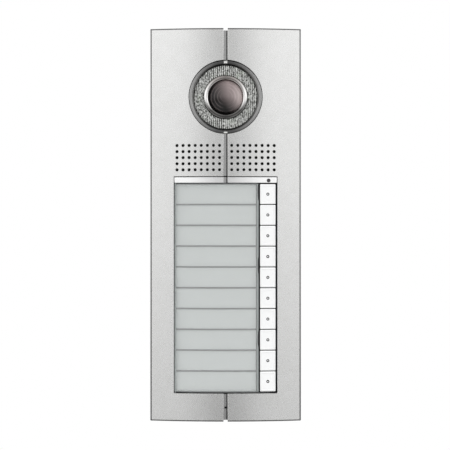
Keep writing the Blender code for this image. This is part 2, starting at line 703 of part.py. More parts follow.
# ---- small moving parts --------------------------------------------------------------------------

def make_tamper_switch():
    """Switch on the chassis plate whose plunger the closed cover covers."""
    x, z = TAMPER
    body = block("tamper_switch", ((x - 4, x + 4), (15.3, 25.0), (z - 5, z + 5)), finish=BLACK_PLASTIC)
    cut(body, rods("cut_plunger_bore", 1.8, (20.5, 27.0), [TAMPER]))
    rods("tamper_plunger", 1.5, (22.0, 27.3), [TAMPER], finish=WHITE)


def make_volume_trimmers():
    """Slotted rotors in the chassis plate's collars."""
    profile = [(0.0, 17.8), (3.4, 17.8), (4.0, 17.2), (4.0, 13.4), (2.0, 13.4), (2.0, 9.0), (0.0, 9.0)]
    for name, z in TRIMMERS.items():
        rotor = turned(name, profile, (TRIMMER_X, z), sides=16, finish=WHITE)
        cut(rotor, block("cut_driver_slot", ((TRIMMER_X - 3, TRIMMER_X + 3), (16.9, 19.0), (z - 0.5, z + 0.5))))


# ---- build ---------------------------------------------------------------------------------------

for leftover in list(bpy.data.objects):
    bpy.data.objects.remove(leftover)

PARTS = bpy.data.collections.new("door_intercom_panel")
CUTTERS = bpy.data.collections.new("cutters")
for collection in (PARTS, CUTTERS):
    bpy.context.scene.collection.children.link(collection)

ALUMINIUM = material("satin_aluminium", (0.72, 0.72, 0.71), 0.42, 0.8)
DARK_METAL = material("dark_metal", (0.10, 0.10, 0.11), 0.35, 0.7)
CHROME = material("chrome", (0.78, 0.78, 0.80), 0.12, 1.0)
STEEL = material("plated_steel", (0.55, 0.56, 0.58), 0.4, 1.0)
PRISM = material("prismatic_plastic", (0.75, 0.76, 0.77), 0.15)
SMOKED_GLASS = material("smoked_plastic", (0.03, 0.025, 0.025), 0.06, alpha=0.6)
LENS_GLASS = material("lens_glass", (0.02, 0.03, 0.06), 0.05)
CLEAR = material("clear_plastic", (0.90, 0.92, 0.91), 0.08, alpha=0.2)
GLOSS_GREY = material("header_plastic", (0.68, 0.69, 0.69), 0.2)
WHITE = material("white_plastic", (0.86, 0.87, 0.87), 0.35)
CARD = material("card", (0.55, 0.58, 0.57), 0.6)
PALE_GREY = material("carrier_plastic", (0.38, 0.39, 0.40), 0.5)
FROSTED = material("light_guide_acrylic", (0.80, 0.82, 0.82), 0.3)
BLACK_PLASTIC = material("black_plastic", (0.03, 0.03, 0.03), 0.45)
GREY_PLASTIC = material("box_plastic", (0.20, 0.20, 0.21), 0.55)
RUBBER = material("black_rubber", (0.02, 0.02, 0.02), 0.8)
SILICONE = material("keypad_silicone", (0.35, 0.36, 0.37), 0.6)
BOARD = material("circuit_board", (0.02, 0.16, 0.07), 0.4)
GREEN_PLASTIC = material("terminal_plastic", (0.05, 0.35, 0.15), 0.45)
PAPER = material("speaker_paper", (0.05, 0.05, 0.05), 0.9)
CLOTH = material("mesh_cloth", (0.02, 0.02, 0.02), 0.9)

make_back_box()
make_wall_gasket()
make_cable_grommet()
make_main_board()
make_terminal_block()
make_chassis_plate()
make_chassis_screws()
make_camera_housing()
make_gimbal()
make_led_board()
make_camera_front()
make_speaker()
make_microphone()
make_button_tray()
make_light_guide()
make_card_carrier()
make_name_cards()
make_keypad()
make_call_buttons()
make_tamper_switch()
make_volume_trimmers()
make_cover_assembly()

for part in PARTS.objects:
    if part.type == "MESH":
        part.data.set_sharp_from_angle(angle=math.radians(35))
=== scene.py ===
"""Looks of the door intercom panel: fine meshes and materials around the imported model.

Lengths here are in millimetres, and MM turns them into metres where a mesh is made. A place is written
(x, depth, z), where depth is the distance in front of the wall, along -Y. Every mesh is in the frame's
own coordinates, with its object at the origin.
"""
import json
import math
import random

import bmesh
import bpy
from mathutils import Matrix, Vector

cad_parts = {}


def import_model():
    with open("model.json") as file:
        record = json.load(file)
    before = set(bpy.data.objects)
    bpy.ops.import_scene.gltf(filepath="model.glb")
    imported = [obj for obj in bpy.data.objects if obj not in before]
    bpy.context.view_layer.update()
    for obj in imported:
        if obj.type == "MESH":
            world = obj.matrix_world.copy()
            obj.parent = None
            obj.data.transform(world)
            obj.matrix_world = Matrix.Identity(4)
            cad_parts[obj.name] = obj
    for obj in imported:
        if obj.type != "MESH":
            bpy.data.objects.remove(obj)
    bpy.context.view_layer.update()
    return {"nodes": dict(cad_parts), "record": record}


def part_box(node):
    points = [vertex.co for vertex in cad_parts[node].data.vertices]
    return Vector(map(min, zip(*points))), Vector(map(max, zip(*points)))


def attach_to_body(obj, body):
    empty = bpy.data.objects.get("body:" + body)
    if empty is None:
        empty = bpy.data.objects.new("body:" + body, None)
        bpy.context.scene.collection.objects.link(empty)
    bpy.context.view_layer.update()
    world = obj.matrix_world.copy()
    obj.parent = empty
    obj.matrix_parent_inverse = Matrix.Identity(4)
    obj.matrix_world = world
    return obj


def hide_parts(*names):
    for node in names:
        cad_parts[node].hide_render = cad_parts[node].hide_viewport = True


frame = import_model()

MM = 0.001
WELD = 0.000002
BODY_OF = {node: body for body, nodes in frame["record"]["behaviour"]["bodies"].items() for node in nodes}


# ---- dimensions, some read from the frame and the rest given ----

def span(node, axis):
    """A CAD node's two ends in millimetres along x, depth or z."""
    low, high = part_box(node)
    if axis == "depth":
        return (-high.y / MM, -low.y / MM)
    index = {"x": 0, "z": 2}[axis]
    return (low[index] / MM, high[index] / MM)


def middle(node, axis):
    """The middle of a CAD node along x, depth or z."""
    return sum(span(node, axis)) / 2


HALF_WIDTH = span("front_cover", "x")[1]
TOP = span("front_cover", "z")[1]
BOTTOM = span("front_cover", "z")[0]
CROWN = span("front_cover", "depth")[1]
BOW = 12.0
FACE_RADIUS = (HALF_WIDTH**2 + BOW**2) / (2 * BOW)
FACE_CENTRE = CROWN - FACE_RADIUS
COVER_REAR = 4.0
COVER_WALL = 2.5
COVER_END = 4.0
CLEAR_FRONT = 45.0  # a depth in front of everything, where the cutters end
GROOVE_HALF = 2.1
GROOVE_X = (-GROOVE_HALF, GROOVE_HALF)
GROOVE_FLOOR = 36.6
TOP_NOTCH = 2.4
BOTTOM_NOTCH = 1.8

CAMERA_Z = middle("dome_window", "z")
CAMERA = (0.0, CAMERA_Z)
CAMERA_HOLE = 36.7
GIMBAL_DEPTH = 19.3
SPEAKER = (0.0, middle("speaker_magnet", "z"))
MIC = (0.0, middle("mic_capsule", "z"))
SCREW_DEPTH = middle("security_screw", "depth")
CABLE = (0.0, -150.0)

PRISM_PITCH = 2.04
GRILLE_PITCH = 6.03
GRILLE_COLUMNS = 8
GRILLE_ROWS = 5
GRILLE_TOP = 78.7
GRILLE_HOLE = 1.5

OPENING_X = (-51.4, 51.4)
OPENING_Z = (-167.2, 48.1)
HEADER_Z = (span("header_bar", "z")[0], OPENING_Z[1] - 0.8)
ROWS = 10
ROW_PITCH = (middle("name_card_01", "z") - middle("name_card_10", "z")) / (ROWS - 1)
BUTTON_MIDDLE = middle("call_button_01", "x")
HINGE_X = -49.9
WINDOW_RIGHT = 32.6
WINDOW_FRONT = 0.4
WINDOW_BACK = 2.2
HINGE_OFFSET = (WINDOW_FRONT + WINDOW_BACK) / 2
SENSOR = (middle("sensor_window", "x"), middle("sensor_window", "z"))


def row_middle(row):
    """Height of the middle of a directory row, counted from the top."""
    return middle("name_card_01", "z") - ROW_PITCH * row


WINDOW_Z = (row_middle(ROWS - 1) - ROW_PITCH / 2 + 0.35, row_middle(0) + ROW_PITCH / 2 - 0.2)


# ---- places and outlines ----

def world(x, depth, z):
    """A place in metres."""
    return Vector((x, -depth, z)) * MM


def face_depth(x, offset=0.0):
    """Depth of the curved face, or of a surface set back from it by an offset."""
    return FACE_CENTRE + math.sqrt((FACE_RADIUS - offset) ** 2 - x**2)


PIVOT = (HINGE_X, face_depth(HINGE_X, HINGE_OFFSET))


def face_arc(x_from, x_to, offset, steps):
    """Points (x, depth) along the face, or along a surface set back from it."""
    places = [x_from + (x_to - x_from) * step / steps for step in range(steps + 1)]
    return [(x, face_depth(x, offset)) for x in places]


def circle(radius, centre=(0.0, 0.0), sides=64):
    """Points round a circle."""
    turns = [2 * math.pi * side / sides for side in range(sides)]
    return [(centre[0] + radius * math.cos(t), centre[1] + radius * math.sin(t)) for t in turns]


def rectangle(x, z):
    """The corners of a rectangle."""
    return [(x[0], z[0]), (x[1], z[0]), (x[1], z[1]), (x[0], z[1])]


def ladder(x, z, grow=0.0, corner=0.5, steps=24):
    """A rounded rectangle: a row of points along its bottom and a matching one back along its top."""
    x0, x1 = x[0] - grow, x[1] + grow
    half = (z[1] - z[0]) / 2 + grow
    radius = max(corner + grow, 0.02)
    bends = [math.pi / 2 * k / 4 for k in range(5)]
    row = [(x0 + radius * (1 - math.cos(a)), half - radius * (1 - math.sin(a))) for a in bends]
    inner = x1 - x0 - 2 * radius
    row += [(x0 + radius + inner * k / steps, half) for k in range(1, steps)]
    row += [(x1 - radius * (1 - math.sin(a)), half - radius * (1 - math.cos(a))) for a in bends]
    centre = sum(z) / 2
    return [(px, centre - dz) for px, dz in row] + [(px, centre + dz) for px, dz in reversed(row)]


# ---- meshes ----

def placed(name, data):
    """A new object in the scene, at the origin."""
    made = bpy.data.objects.new(name, data)
    bpy.context.scene.collection.objects.link(made)
    return made


def to_object(name, bm):
    """An object that holds a bmesh in world space."""
    mesh = bpy.data.meshes.new(name)
    bm.to_mesh(mesh)
    bm.free()
    return placed(name, mesh)


def block(name, *boxes):
    """Boxes, each given by its two x values, two depths and two heights."""
    bm = bmesh.new()
    for x, depth, z in boxes:
        place = Matrix.Translation(world(sum(x) / 2, sum(depth) / 2, sum(z) / 2))
        size = Vector((x[1] - x[0], depth[1] - depth[0], z[1] - z[0])) * MM
        bmesh.ops.create_cube(bm, size=1.0, matrix=place @ Matrix.Diagonal((*size, 1.0)))
    return to_object(name, bm)


def rods(name, radius, ends, centres, along="depth", sides=32):
    """Round bars of one size between two places along x, depth or z."""
    turn = {
        "x": Matrix.Rotation(math.pi / 2, 4, "Y"),
        "depth": Matrix.Rotation(math.pi / 2, 4, "X"),
        "z": Matrix.Identity(4),
    }[along]
    half = sum(ends) / 2
    bm = bmesh.new()
    for one, other in centres:
        place = {"x": (half, one, other), "depth": (one, half, other), "z": (one, other, half)}[along]
        bmesh.ops.create_cone(
            bm, cap_ends=True, segments=sides, radius1=radius * MM, radius2=radius * MM,
            depth=(ends[1] - ends[0]) * MM, matrix=Matrix.Translation(world(*place)) @ turn,
        )
    return to_object(name, bm)


def extruded(name, loops, ends, upright=False):
    """A flat outline with holes, extruded between two depths, or between two heights if it is upright."""
    curve = bpy.data.curves.new(name, "CURVE")
    curve.dimensions = "2D"
    curve.fill_mode = "BOTH"
    curve.extrude = (ends[1] - ends[0]) / 2 * MM
    for loop in loops:
        spline = curve.splines.new("POLY")
        spline.points.add(len(loop) - 1)
        for corner, (x, other) in zip(spline.points, loop):
            corner.co = (x * MM, (-other if upright else other) * MM, 0.0, 1.0)
        spline.use_cyclic_u = True
    drawn = placed(name, curve)
    half = sum(ends) / 2
    drawn.location = world(0.0, 0.0, half) if upright else world(0.0, half, 0.0)
    if not upright:
        drawn.rotation_euler = (math.pi / 2, 0.0, 0.0)
    mesh = final_mesh(drawn)
    place = drawn.matrix_world.copy()
    bpy.data.objects.remove(drawn)
    bm = bmesh.new()
    bm.from_mesh(mesh)
    bpy.data.meshes.remove(mesh)
    bmesh.ops.transform(bm, matrix=place, verts=bm.verts)
    bmesh.ops.remove_doubles(bm, verts=bm.verts, dist=WELD)
    bmesh.ops.dissolve_limit(bm, angle_limit=0.001, verts=bm.verts, edges=bm.edges)
    bmesh.ops.recalc_face_normals(bm, faces=bm.faces)
    return to_object(name, bm)


def curved_slab(name, x, z, front, back, steps=40):
    """A slab that follows the face between two offsets from it."""
    section = face_arc(x[0], x[1], front, steps) + face_arc(x[1], x[0], back, steps)
    return extruded(name, [section], z, upright=True)


def turned(name, profile, centre=(0.0, 0.0), sides=96, upright=False):
    """Sweep (radius, height) points round an axis. They close into a ring unless they begin on the axis."""
    turns = [2 * math.pi * side / sides for side in range(sides)]
    bm = bmesh.new()
    rings = []
    for radius, height in profile:
        count = 1 if radius < 1e-6 else sides
        ring = []
        for turn in turns[:count]:
            across, beside = radius * math.cos(turn), radius * math.sin(turn)
            if upright:
                place = (centre[0] + across, centre[1] - beside, height)
            else:
                place = (centre[0] + across, height, centre[1] + beside)
            ring.append(bm.verts.new(world(*place)))
        rings.append(ring)
    pairs = list(zip(rings, rings[1:]))
    if len(rings[0]) > 1:
        pairs.append((rings[-1], rings[0]))
    for one, other in pairs:
        for n in range(sides):
            near = [one[n % len(one)], one[(n + 1) % len(one)]]
            far = [other[(n + 1) % len(other)], other[n % len(other)]]
            bm.faces.new(list(dict.fromkeys(near + far)))
    bmesh.ops.recalc_face_normals(bm, faces=bm.faces)
    return to_object(name, bm)


def lofted(name, stacks):
    """Solids through stacks of matching rings of world points. The ends are filled like a ladder."""
    bm = bmesh.new()
    for rings in stacks:
        made = [[bm.verts.new(point) for point in ring] for ring in rings]
        count = len(made[0])
        for one, other in zip(made, made[1:]):
            for n in range(count):
                bm.faces.new((one[n], one[(n + 1) % count], other[(n + 1) % count], other[n]))
        for ring in (made[0], made[-1]):
            for n in range(count // 2 - 1):
                bm.faces.new((ring[n], ring[n + 1], ring[count - 2 - n], ring[count - 1 - n]))
    bmesh.ops.recalc_face_normals(bm, faces=bm.faces)
    return to_object(name, bm)


def rim_cutter(name, outlines, edge, back=20.0):
    """Cutters straight through the face whose rims are rounded over where they meet it.

    Each outline is a function from how far it has grown to its points.
    """
    bends = [math.radians(angle) for angle in (0, 25, 50, 75)]
    stacks = []
    for outline in outlines:
        base = outline(0.0)
        rings = [[world(x, back, z) for x, z in base]]
        for bend in bends:
            grown = outline(edge * (1 - math.cos(bend)))
            sunk = edge * (1 - math.sin(bend))
            rings.append([world(x, face_depth(x) - sunk, z) for x, z in grown])
        rings.append([world(x, CLEAR_FRONT, z) for x, z in outline(edge * 0.8)])
        stacks.append(rings)
    return lofted(name, stacks)


def round_outline(centre, radius, sides):
    """A circle's outline as a function of how far it has grown, in two matching rows for a ladder."""
    def outline(grow):
        turns = [math.pi + math.pi * (n + 0.5) / (sides // 2) for n in range(sides // 2)]
        row = [((radius + grow) * math.cos(t), (radius + grow) * math.sin(t)) for t in turns]
        points = row + [(x, -z) for x, z in reversed(row)]
        return [(centre[0] + x, centre[1] + z) for x, z in points]
    return outline


def final_mesh(source):
    """The mesh of an object with its modifiers, as a mesh of its own."""
    bpy.context.view_layer.update()
    evaluated = source.evaluated_get(bpy.context.evaluated_depsgraph_get())
    return bpy.data.meshes.new_from_object(evaluated)


def apply_modifiers(target):
    """Make what an object's modifiers show its own mesh."""
    mesh = final_mesh(target)
    target.modifiers.clear()
    target.data = mesh


def combine(target, operation, *others):
    """Cut away or add other shapes, and use them up."""
    for other in others:
        boolean = target.modifiers.new(other.name, "BOOLEAN")
        boolean.operation = operation
        boolean.solver = "EXACT"
        boolean.object = other
    apply_modifiers(target)
    for other in others:
        bpy.data.objects.remove(other)


def cut(target, *others):
    combine(target, "DIFFERENCE", *others)


def join(target, *others):
    combine(target, "UNION", *others)


def soften(target, width, angle=40, segments=2):
    """Round every edge that is sharper than an angle."""
    bevel = target.modifiers.new("edges", "BEVEL")
    bevel.width = width * MM
    bevel.segments = segments
    bevel.limit_method = "ANGLE"
    bevel.angle_limit = math.radians(angle)
    bevel.use_clamp_overlap = True
    bevel.harden_normals = False
    apply_modifiers(target)
    return target


def smooth(target, angle=32):
    """Smooth shading, with the panel's own cylinder normals on every face that follows it."""
    mesh = target.data
    mesh.shade_smooth()
    mesh.set_sharp_from_angle(angle=math.radians(angle))
    normals = [Vector(corner.vector) for corner in mesh.corner_normals]
    changed = False
    for face in mesh.polygons:
        outward = Vector((face.center.x, face.center.y + FACE_CENTRE * MM, 0.0)).normalized()
        facing = face.normal.dot(outward)
        if abs(facing) < 0.9995:
            continue
        places = [mesh.vertices[corner].co for corner in face.vertices]
        away = [math.hypot(place.x, place.y + FACE_CENTRE * MM) for place in places]
        if max(away) - min(away) > 0.00001 or min(away) < 0.2:
            continue
        for loop in face.loop_indices:
            place = mesh.vertices[mesh.loops[loop].vertex_index].co
            exact = Vector((place.x, place.y + FACE_CENTRE * MM, 0.0)).normalized()
            normals[loop] = exact if facing > 0 else -exact
        changed = True
    if changed:
        mesh.normals_split_custom_set(normals)


# ---- materials ----

def principled(name, colour, roughness, metallic=0.0, **more):
    """A Principled BSDF material and its shader node."""
    made = bpy.data.materials.new(name)
    made.use_nodes = True
    shader = made.node_tree.nodes["Principled BSDF"]
    shader.inputs["Base Color"].default_value = (*colour, 1.0)
    shader.inputs["Roughness"].default_value = roughness
    shader.inputs["Metallic"].default_value = metallic
    for socket, value in more.items():
        shader.inputs[socket.replace("_", " ")].default_value = value
    return made, shader


def add_node(tree, kind, **settings):
    """A new shader node in the tree of a material or of the world."""
    node = tree.nodes.new(f"ShaderNode{kind}")
    for setting, value in settings.items():
        setattr(node, setting, value)
    return node


def node_over(kind, *values, **settings):
    """A new shader node in the tree that the first field among some values belongs to."""
    tree = next(value.id_data for value in values if isinstance(value, bpy.types.NodeSocket))
    return add_node(tree, kind, **settings)


def feed(socket, value):
    """Drive a socket by a field, or set it to a number or a colour."""
    if isinstance(value, bpy.types.NodeSocket):
        socket.id_data.links.new(value, socket)
    elif isinstance(value, tuple):
        socket.default_value = (*value, 1.0)
    else:
        socket.default_value = value


def coordinates(made, **changes):
    """The object's own coordinates, with their Location, Rotation or Scale changed."""
    mapping = add_node(made.node_tree, "Mapping")
    for change, value in changes.items():
        mapping.inputs[change].default_value = value
    feed(mapping.inputs["Vector"], add_node(made.node_tree, "TexCoord").outputs["Object"])
    return mapping.outputs["Vector"]


def noise(made, scale, detail=3.0, stretch=(1.0, 1.0, 1.0)):
    """A noise field over the object's own coordinates. Its scale is in features per metre."""
    field = add_node(made.node_tree, "TexNoise")
    field.inputs["Scale"].default_value = scale
    field.inputs["Detail"].default_value = detail
    feed(field.inputs["Vector"], coordinates(made, Scale=stretch))
    return field.outputs[0]


def waves(pitch, vector, **settings):
    """A field that rises and falls once in each pitch. The texture repeats every pi / 10 over its scale."""
    field = node_over("TexWave", vector, **settings)
    field.inputs["Scale"].default_value = math.pi / 10 / (pitch * MM)
    feed(field.inputs["Vector"], vector)
    return field.outputs["Fac"]


def blend_colour(factor, low, high, mode="MIX"):
    """A colour between two colours or fields of colour, by a factor from 0 to 1."""
    mix = node_over("Mix", factor, low, data_type="RGBA", blend_type=mode)
    for place, value in ((0, factor), (6, low), (7, high)):
        feed(mix.inputs[place], value)
    return mix.outputs[2]


def spread(field, low, high, out_low=0.0, out_high=1.0):
    """Map a field's range to another one."""
    ranged = node_over("MapRange", field)
    for socket, value in zip(("From Min", "From Max", "To Min", "To Max"), (low, high, out_low, out_high)):
        ranged.inputs[socket].default_value = value
    feed(ranged.inputs["Value"], field)
    return ranged.outputs["Result"]


def levelled(field, out_low=0.0, out_high=1.0):
    """A noise field, which mostly lies between 0.3 and 0.7, mapped to another range."""
    return spread(field, 0.3, 0.7, out_low, out_high)


def calc(operation, *values):
    """A Math node over fields and numbers."""
    node = node_over("Math", *values, operation=operation)
    for socket, value in zip(node.inputs, values):
        feed(socket, value)
    return node.outputs[0]


def times(one, other):
    """A field multiplied by another one or by a number."""
    return calc("MULTIPLY", one, other)


def hypotenuse(one, other):
    """The length of a line from its two parts at right angles."""
    return calc("SQRT", calc("ADD", times(one, one), times(other, other)))


def place_of(made, kind="Object"):
    """The three parts of a coordinate, which for an object's own are x, y and z in metres."""
    split = add_node(made.node_tree, "SeparateXYZ")
    feed(split.inputs["Vector"], add_node(made.node_tree, "TexCoord").outputs[kind])
    return split.outputs["X"], split.outputs["Y"], split.outputs["Z"]


def camera_radius(made):
    """Distance from the camera's axis, which stands out of the wall."""
    x, _, z = place_of(made)
    return hypotenuse(x, calc("SUBTRACT", z, CAMERA_Z * MM))


def camera_rings(made, pitch):
    """A field of rings about the camera's axis."""
    vector = coordinates(made, Location=(0.0, 0.0, -CAMERA_Z * MM))
    return waves(pitch, vector, wave_type="RINGS", rings_direction="Y")


def within(value, low, high, blur=0.05):
    """1 between two places in millimetres and 0 outside them."""
    rise = spread(value, (low - blur) * MM, (low + blur) * MM)
    fall = spread(value, (high - blur) * MM, (high + blur) * MM, 1.0, 0.0)
    return times(rise, fall)


def tint(made, mask, colour):
    """Blend the base colour towards another one by a mask."""
    socket = made.node_tree.nodes["Principled BSDF"].inputs["Base Color"]
    under = socket.links[0].from_socket if socket.is_linked else tuple(socket.default_value)[:3]
    feed(socket, blend_colour(mask, under, colour))
    return made


def bump(shader, field, height):
    """Raise the surface by a field, to a height in millimetres."""
    raised = node_over("Bump", field)
    raised.inputs["Strength"].default_value = 1.0
    raised.inputs["Distance"].default_value = height * MM
    feed(raised.inputs["Height"], field)
    feed(shader.inputs["Normal"], raised.outputs["Normal"])


def grained(name, colour, roughness, metallic=0.0, scale=900.0, vary=0.05, rough_vary=0.08, height=0.01,
            stretch=(1.0, 1.0, 1.0), **more):
    """A material whose colour, roughness and surface all vary with one fine grain."""
    made, shader = principled(name, colour, roughness, metallic, **more)
    field = noise(made, scale, stretch=stretch)
    low = tuple(max(part * (1 - vary), 0.0) for part in colour)
    high = tuple(min(part * (1 + vary), 1.0) for part in colour)
    feed(shader.inputs["Base Color"], blend_colour(levelled(field), low, high))
    uneven = levelled(field, roughness - rough_vary, roughness + rough_vary)
    feed(shader.inputs["Roughness"], uneven)
    if height:
        bump(shader, field, height)
    return made


def satin_aluminium():
    """Bead-blasted anodised aluminium: fine sparkle over a soft cloudiness."""
    made, shader = principled("satin_aluminium", (0.80, 0.80, 0.79), 0.30, 0.9)
    fine = noise(made, 850.0, detail=1.0)
    cloud = noise(made, 110.0, detail=4.0)
    speckle = blend_colour(levelled(fine), (0.785, 0.785, 0.78), (0.845, 0.845, 0.84))
    haze = blend_colour(levelled(cloud), (0.96, 0.96, 0.955), (1.0, 1.0, 1.0))
    feed(shader.inputs["Base Color"], blend_colour(1.0, speckle, haze, "MULTIPLY"))
    feed(shader.inputs["Roughness"], levelled(fine, 0.26, 0.32))
    bump(shader, fine, 0.004)
    return made


def circuit_board():
    """Green solder mask with paler copper runs under it."""
    made, shader = principled("circuit_board", (0.02, 0.16, 0.07), 0.35)
    runs = add_node(made.node_tree, "TexBrick")
    runs.inputs["Scale"].default_value = 120.0
    runs.inputs["Mortar Size"].default_value = 0.04
    feed(runs.inputs["Color1"], (0.015, 0.12, 0.05))
    feed(runs.inputs["Color2"], (0.02, 0.17, 0.07))
    feed(runs.inputs["Mortar"], (0.05, 0.26, 0.10))
    feed(runs.inputs["Vector"], coordinates(made, Rotation=(math.pi / 2, 0.0, 0.0)))
    feed(shader.inputs["Base Color"], runs.outputs["Color"])
    bump(shader, runs.outputs["Fac"], 0.03)
    return made


def ringed(name, colour, roughness, metallic, pitch, height, **more):
    """A material with fine turned rings about the camera's axis."""
    made, shader = principled(name, colour, roughness, metallic, **more)
    bump(shader, camera_rings(made, pitch), height)
    return made


def shade_painted_cover_edge(made):
    """Darken the thin rounded edge that runs all round the cover's face: painted shade, standing in for the
    dark reflection along that edge.
    """
    x, _, z = place_of(made)
    side = within(calc("ABSOLUTE", x), HALF_WIDTH - 1.4, HALF_WIDTH - 0.3, 0.02)
    end = within(calc("ABSOLUTE", z), TOP - 1.3, TOP - 0.25, 0.02)
    return tint(made, calc("MAXIMUM", side, end), (0.12, 0.12, 0.12))


def shade_painted_opening(made):
    """Blacken the cut walls of the cover's rectangular opening: painted shade for the dark gap round the
    directory.
    """
    x, y, z = place_of(made)
    margin = 0.4
    reach = hypotenuse(x, calc("ADD", y, FACE_CENTRE * MM))
    under_face = spread(reach, (FACE_RADIUS - 0.45) * MM, (FACE_RADIUS - 0.3) * MM, 1.0, 0.0)
    across = within(x, OPENING_X[0] - margin, OPENING_X[1] + margin)
    upright = within(z, OPENING_Z[0] - margin, OPENING_Z[1] + margin)
    return tint(made, times(under_face, times(across, upright)), (0.015, 0.015, 0.015))


def shade_painted_groove(made):
    """Darken the floor of the groove with painted shade, and blacken the narrow slot along its right side
    with a painted shadow of the right wall.
    """
    x, y, _ = place_of(made)
    sunk = spread(y, -(GROOVE_FLOOR + 1.0) * MM, -(GROOVE_FLOOR + 0.8) * MM)
    floor = times(sunk, within(x, -2.3, 2.3))
    slot = times(sunk, within(x, 0.8, 1.92, 0.02))
    # painted shade on the groove floor
    tint(made, times(floor, 0.8), (0.42, 0.42, 0.42))
    # painted shadow in the slot, near black
    return tint(made, slot, (0.03, 0.03, 0.03))


def bezel_metal():
    """Dark satin metal with painted light: lighter towards its left and right sides, with painted shade on
    its outer edge and on its inner slope, so it is blacker on that slope and towards its top and bottom.
    """
    made = ringed("bezel_metal", (0.12, 0.12, 0.12), 0.34, 0.8, 0.35, 0.004)
    x, _, _ = place_of(made)
    # painted highlight: lighter towards the left and right sides
    sideways = spread(calc("ABSOLUTE", x), 8.0 * MM, 33.0 * MM)
    tint(made, sideways, (0.42, 0.42, 0.415))
    radius = camera_radius(made)
    # painted shade on the outer edge
    outer = spread(radius, 35.9 * MM, 36.2 * MM, 0.0, 0.8)
    tint(made, outer, (0.06, 0.06, 0.06))
    # painted shade on the inner slope, weaker towards the sides
    inner = spread(radius, 32.7 * MM, 33.2 * MM, 1.0, 0.0)
    shaded = calc("SUBTRACT", 1.0, times(sideways, 0.7))
    return tint(made, times(inner, shaded), (0.012, 0.012, 0.012))


def prism_plastic():
    """Upright rows of small prisms, with painted light and shade: each prism lighter or darker in its own
    way, standing in for how it catches the light.
    """
    made, shader = principled("prismatic_plastic", (0.5, 0.5, 0.5), 0.16, 0.6)
    rows = waves(PRISM_PITCH, coordinates(made), bands_direction="X")
    flicker = levelled(noise(made, 800.0, detail=1.0, stretch=(1.0, 1.0, 0.6)))
    level = calc("ADD", times(rows, 0.55), times(flicker, 0.75))
    # painted highlights and shade on the prisms
    shades = blend_colour(spread(level, 0.35, 1.0), (0.07, 0.07, 0.065), (0.66, 0.67, 0.65))
    feed(shader.inputs["Base Color"], shades)
    tone = noise(made, 130.0, detail=1.0)
    return tint(made, spread(tone, 0.55, 0.75, 0.0, 0.3), (0.36, 0.42, 0.33))


def chrome():
    """Polished ring with a painted reflection, warmer and darker over its top, and painted shade darker still
    at its foot.
    """
    made = ringed("chrome", (0.92, 0.91, 0.90), 0.18, 1.0, 0.5, 0.001)
    _, _, z = place_of(made)
    top = spread(z, (CAMERA_Z + 5.0) * MM, (CAMERA_Z + 17.0) * MM, 0.0, 0.9)
    foot = spread(z, (CAMERA_Z - 13.0) * MM, (CAMERA_Z - 4.0) * MM, 0.95, 0.0)
    # painted reflection over the top
    tint(made, top, (0.34, 0.31, 0.295))
    # painted shade at the foot
    return tint(made, foot, (0.12, 0.116, 0.112))


def smoked_dome():
    """Smoked dome with moulded rings and painted light: warmer and lighter towards the upper right and at its
    right edge, with painted glints and shade along the rings at its sides.
    """
    pitch = 3.2
    made = ringed(
        "smoked_dome", (0.010, 0.009, 0.009), 0.38, 0.0, pitch, 0.03,
        Coat_Weight=0.25, Coat_Roughness=0.12, Specular_IOR_Level=0.2, Alpha=0.95,
    )
    x, _, z = place_of(made)
    up = calc("SUBTRACT", z, CAMERA_Z * MM)
    lean = calc("ADD", x, calc("MINIMUM", up, times(up, 0.35)))
    # painted light, strongest towards the upper right
    upper_right_painted_light = calc("POWER", spread(lean, -12.0 * MM, 9.0 * MM), 1.5)
    rings = camera_rings(made, pitch)
    sideways = spread(calc("ABSOLUTE", x), 2.0 * MM, 6.0 * MM, 0.1, 0.7)
    # painted shade and painted glints along the rings, at the sides
    dimmed = calc("SUBTRACT", 1.0, times(rings, times(sideways, 0.6)))
    glints = times(calc("POWER", rings, 4.0), times(sideways, 0.3))
    tint(made, calc("ADD", times(upper_right_painted_light, dimmed), glints), (0.34, 0.278, 0.274))
    # painted light along the right edge
    rim = times(spread(x, 6.0 * MM, 16.0 * MM, 0.0, 0.4), upper_right_painted_light)
    return tint(made, rim, (0.80, 0.70, 0.68))


def clear_plastic():
    """Clear acrylic: nearly all of what is behind it shows, except along its edges, where painted light and
    shade make it greyer and less clear, standing in for the light the edges gather.
    """
    made, shader = principled("clear_plastic", (0.80, 0.83, 0.82), 0.12, 0.0, Specular_IOR_Level=0.5)
    feed(shader.inputs["Roughness"], levelled(noise(made, 60.0), 0.10, 0.14))
    x, _, z = place_of(made)
    across = within(x, HINGE_X + 0.6, WINDOW_RIGHT - 1.4, 0.02)
    upright = within(z, WINDOW_Z[0] + 0.3, WINDOW_Z[1] - 0.3, 0.02)
    # painted light and shade along the edges
    edge = calc("SUBTRACT", 1.0, times(across, upright))
    feed(shader.inputs["Alpha"], calc("ADD", times(edge, 0.45), 0.08))
    return tint(made, edge, (0.40, 0.43, 0.425))


def mesh_cloth():
    """Black woven cloth."""
    made, shader = principled("mesh_cloth", (0.012, 0.012, 0.012), 0.9)
    threads = [waves(0.6, coordinates(made), bands_direction=axis) for axis in ("X", "Z")]
    weave = times(*threads)
    shades = blend_colour(weave, (0.004, 0.004, 0.004), (0.03, 0.03, 0.03))
    feed(shader.inputs["Base Color"], shades)
    bump(shader, weave, 0.1)
    return made


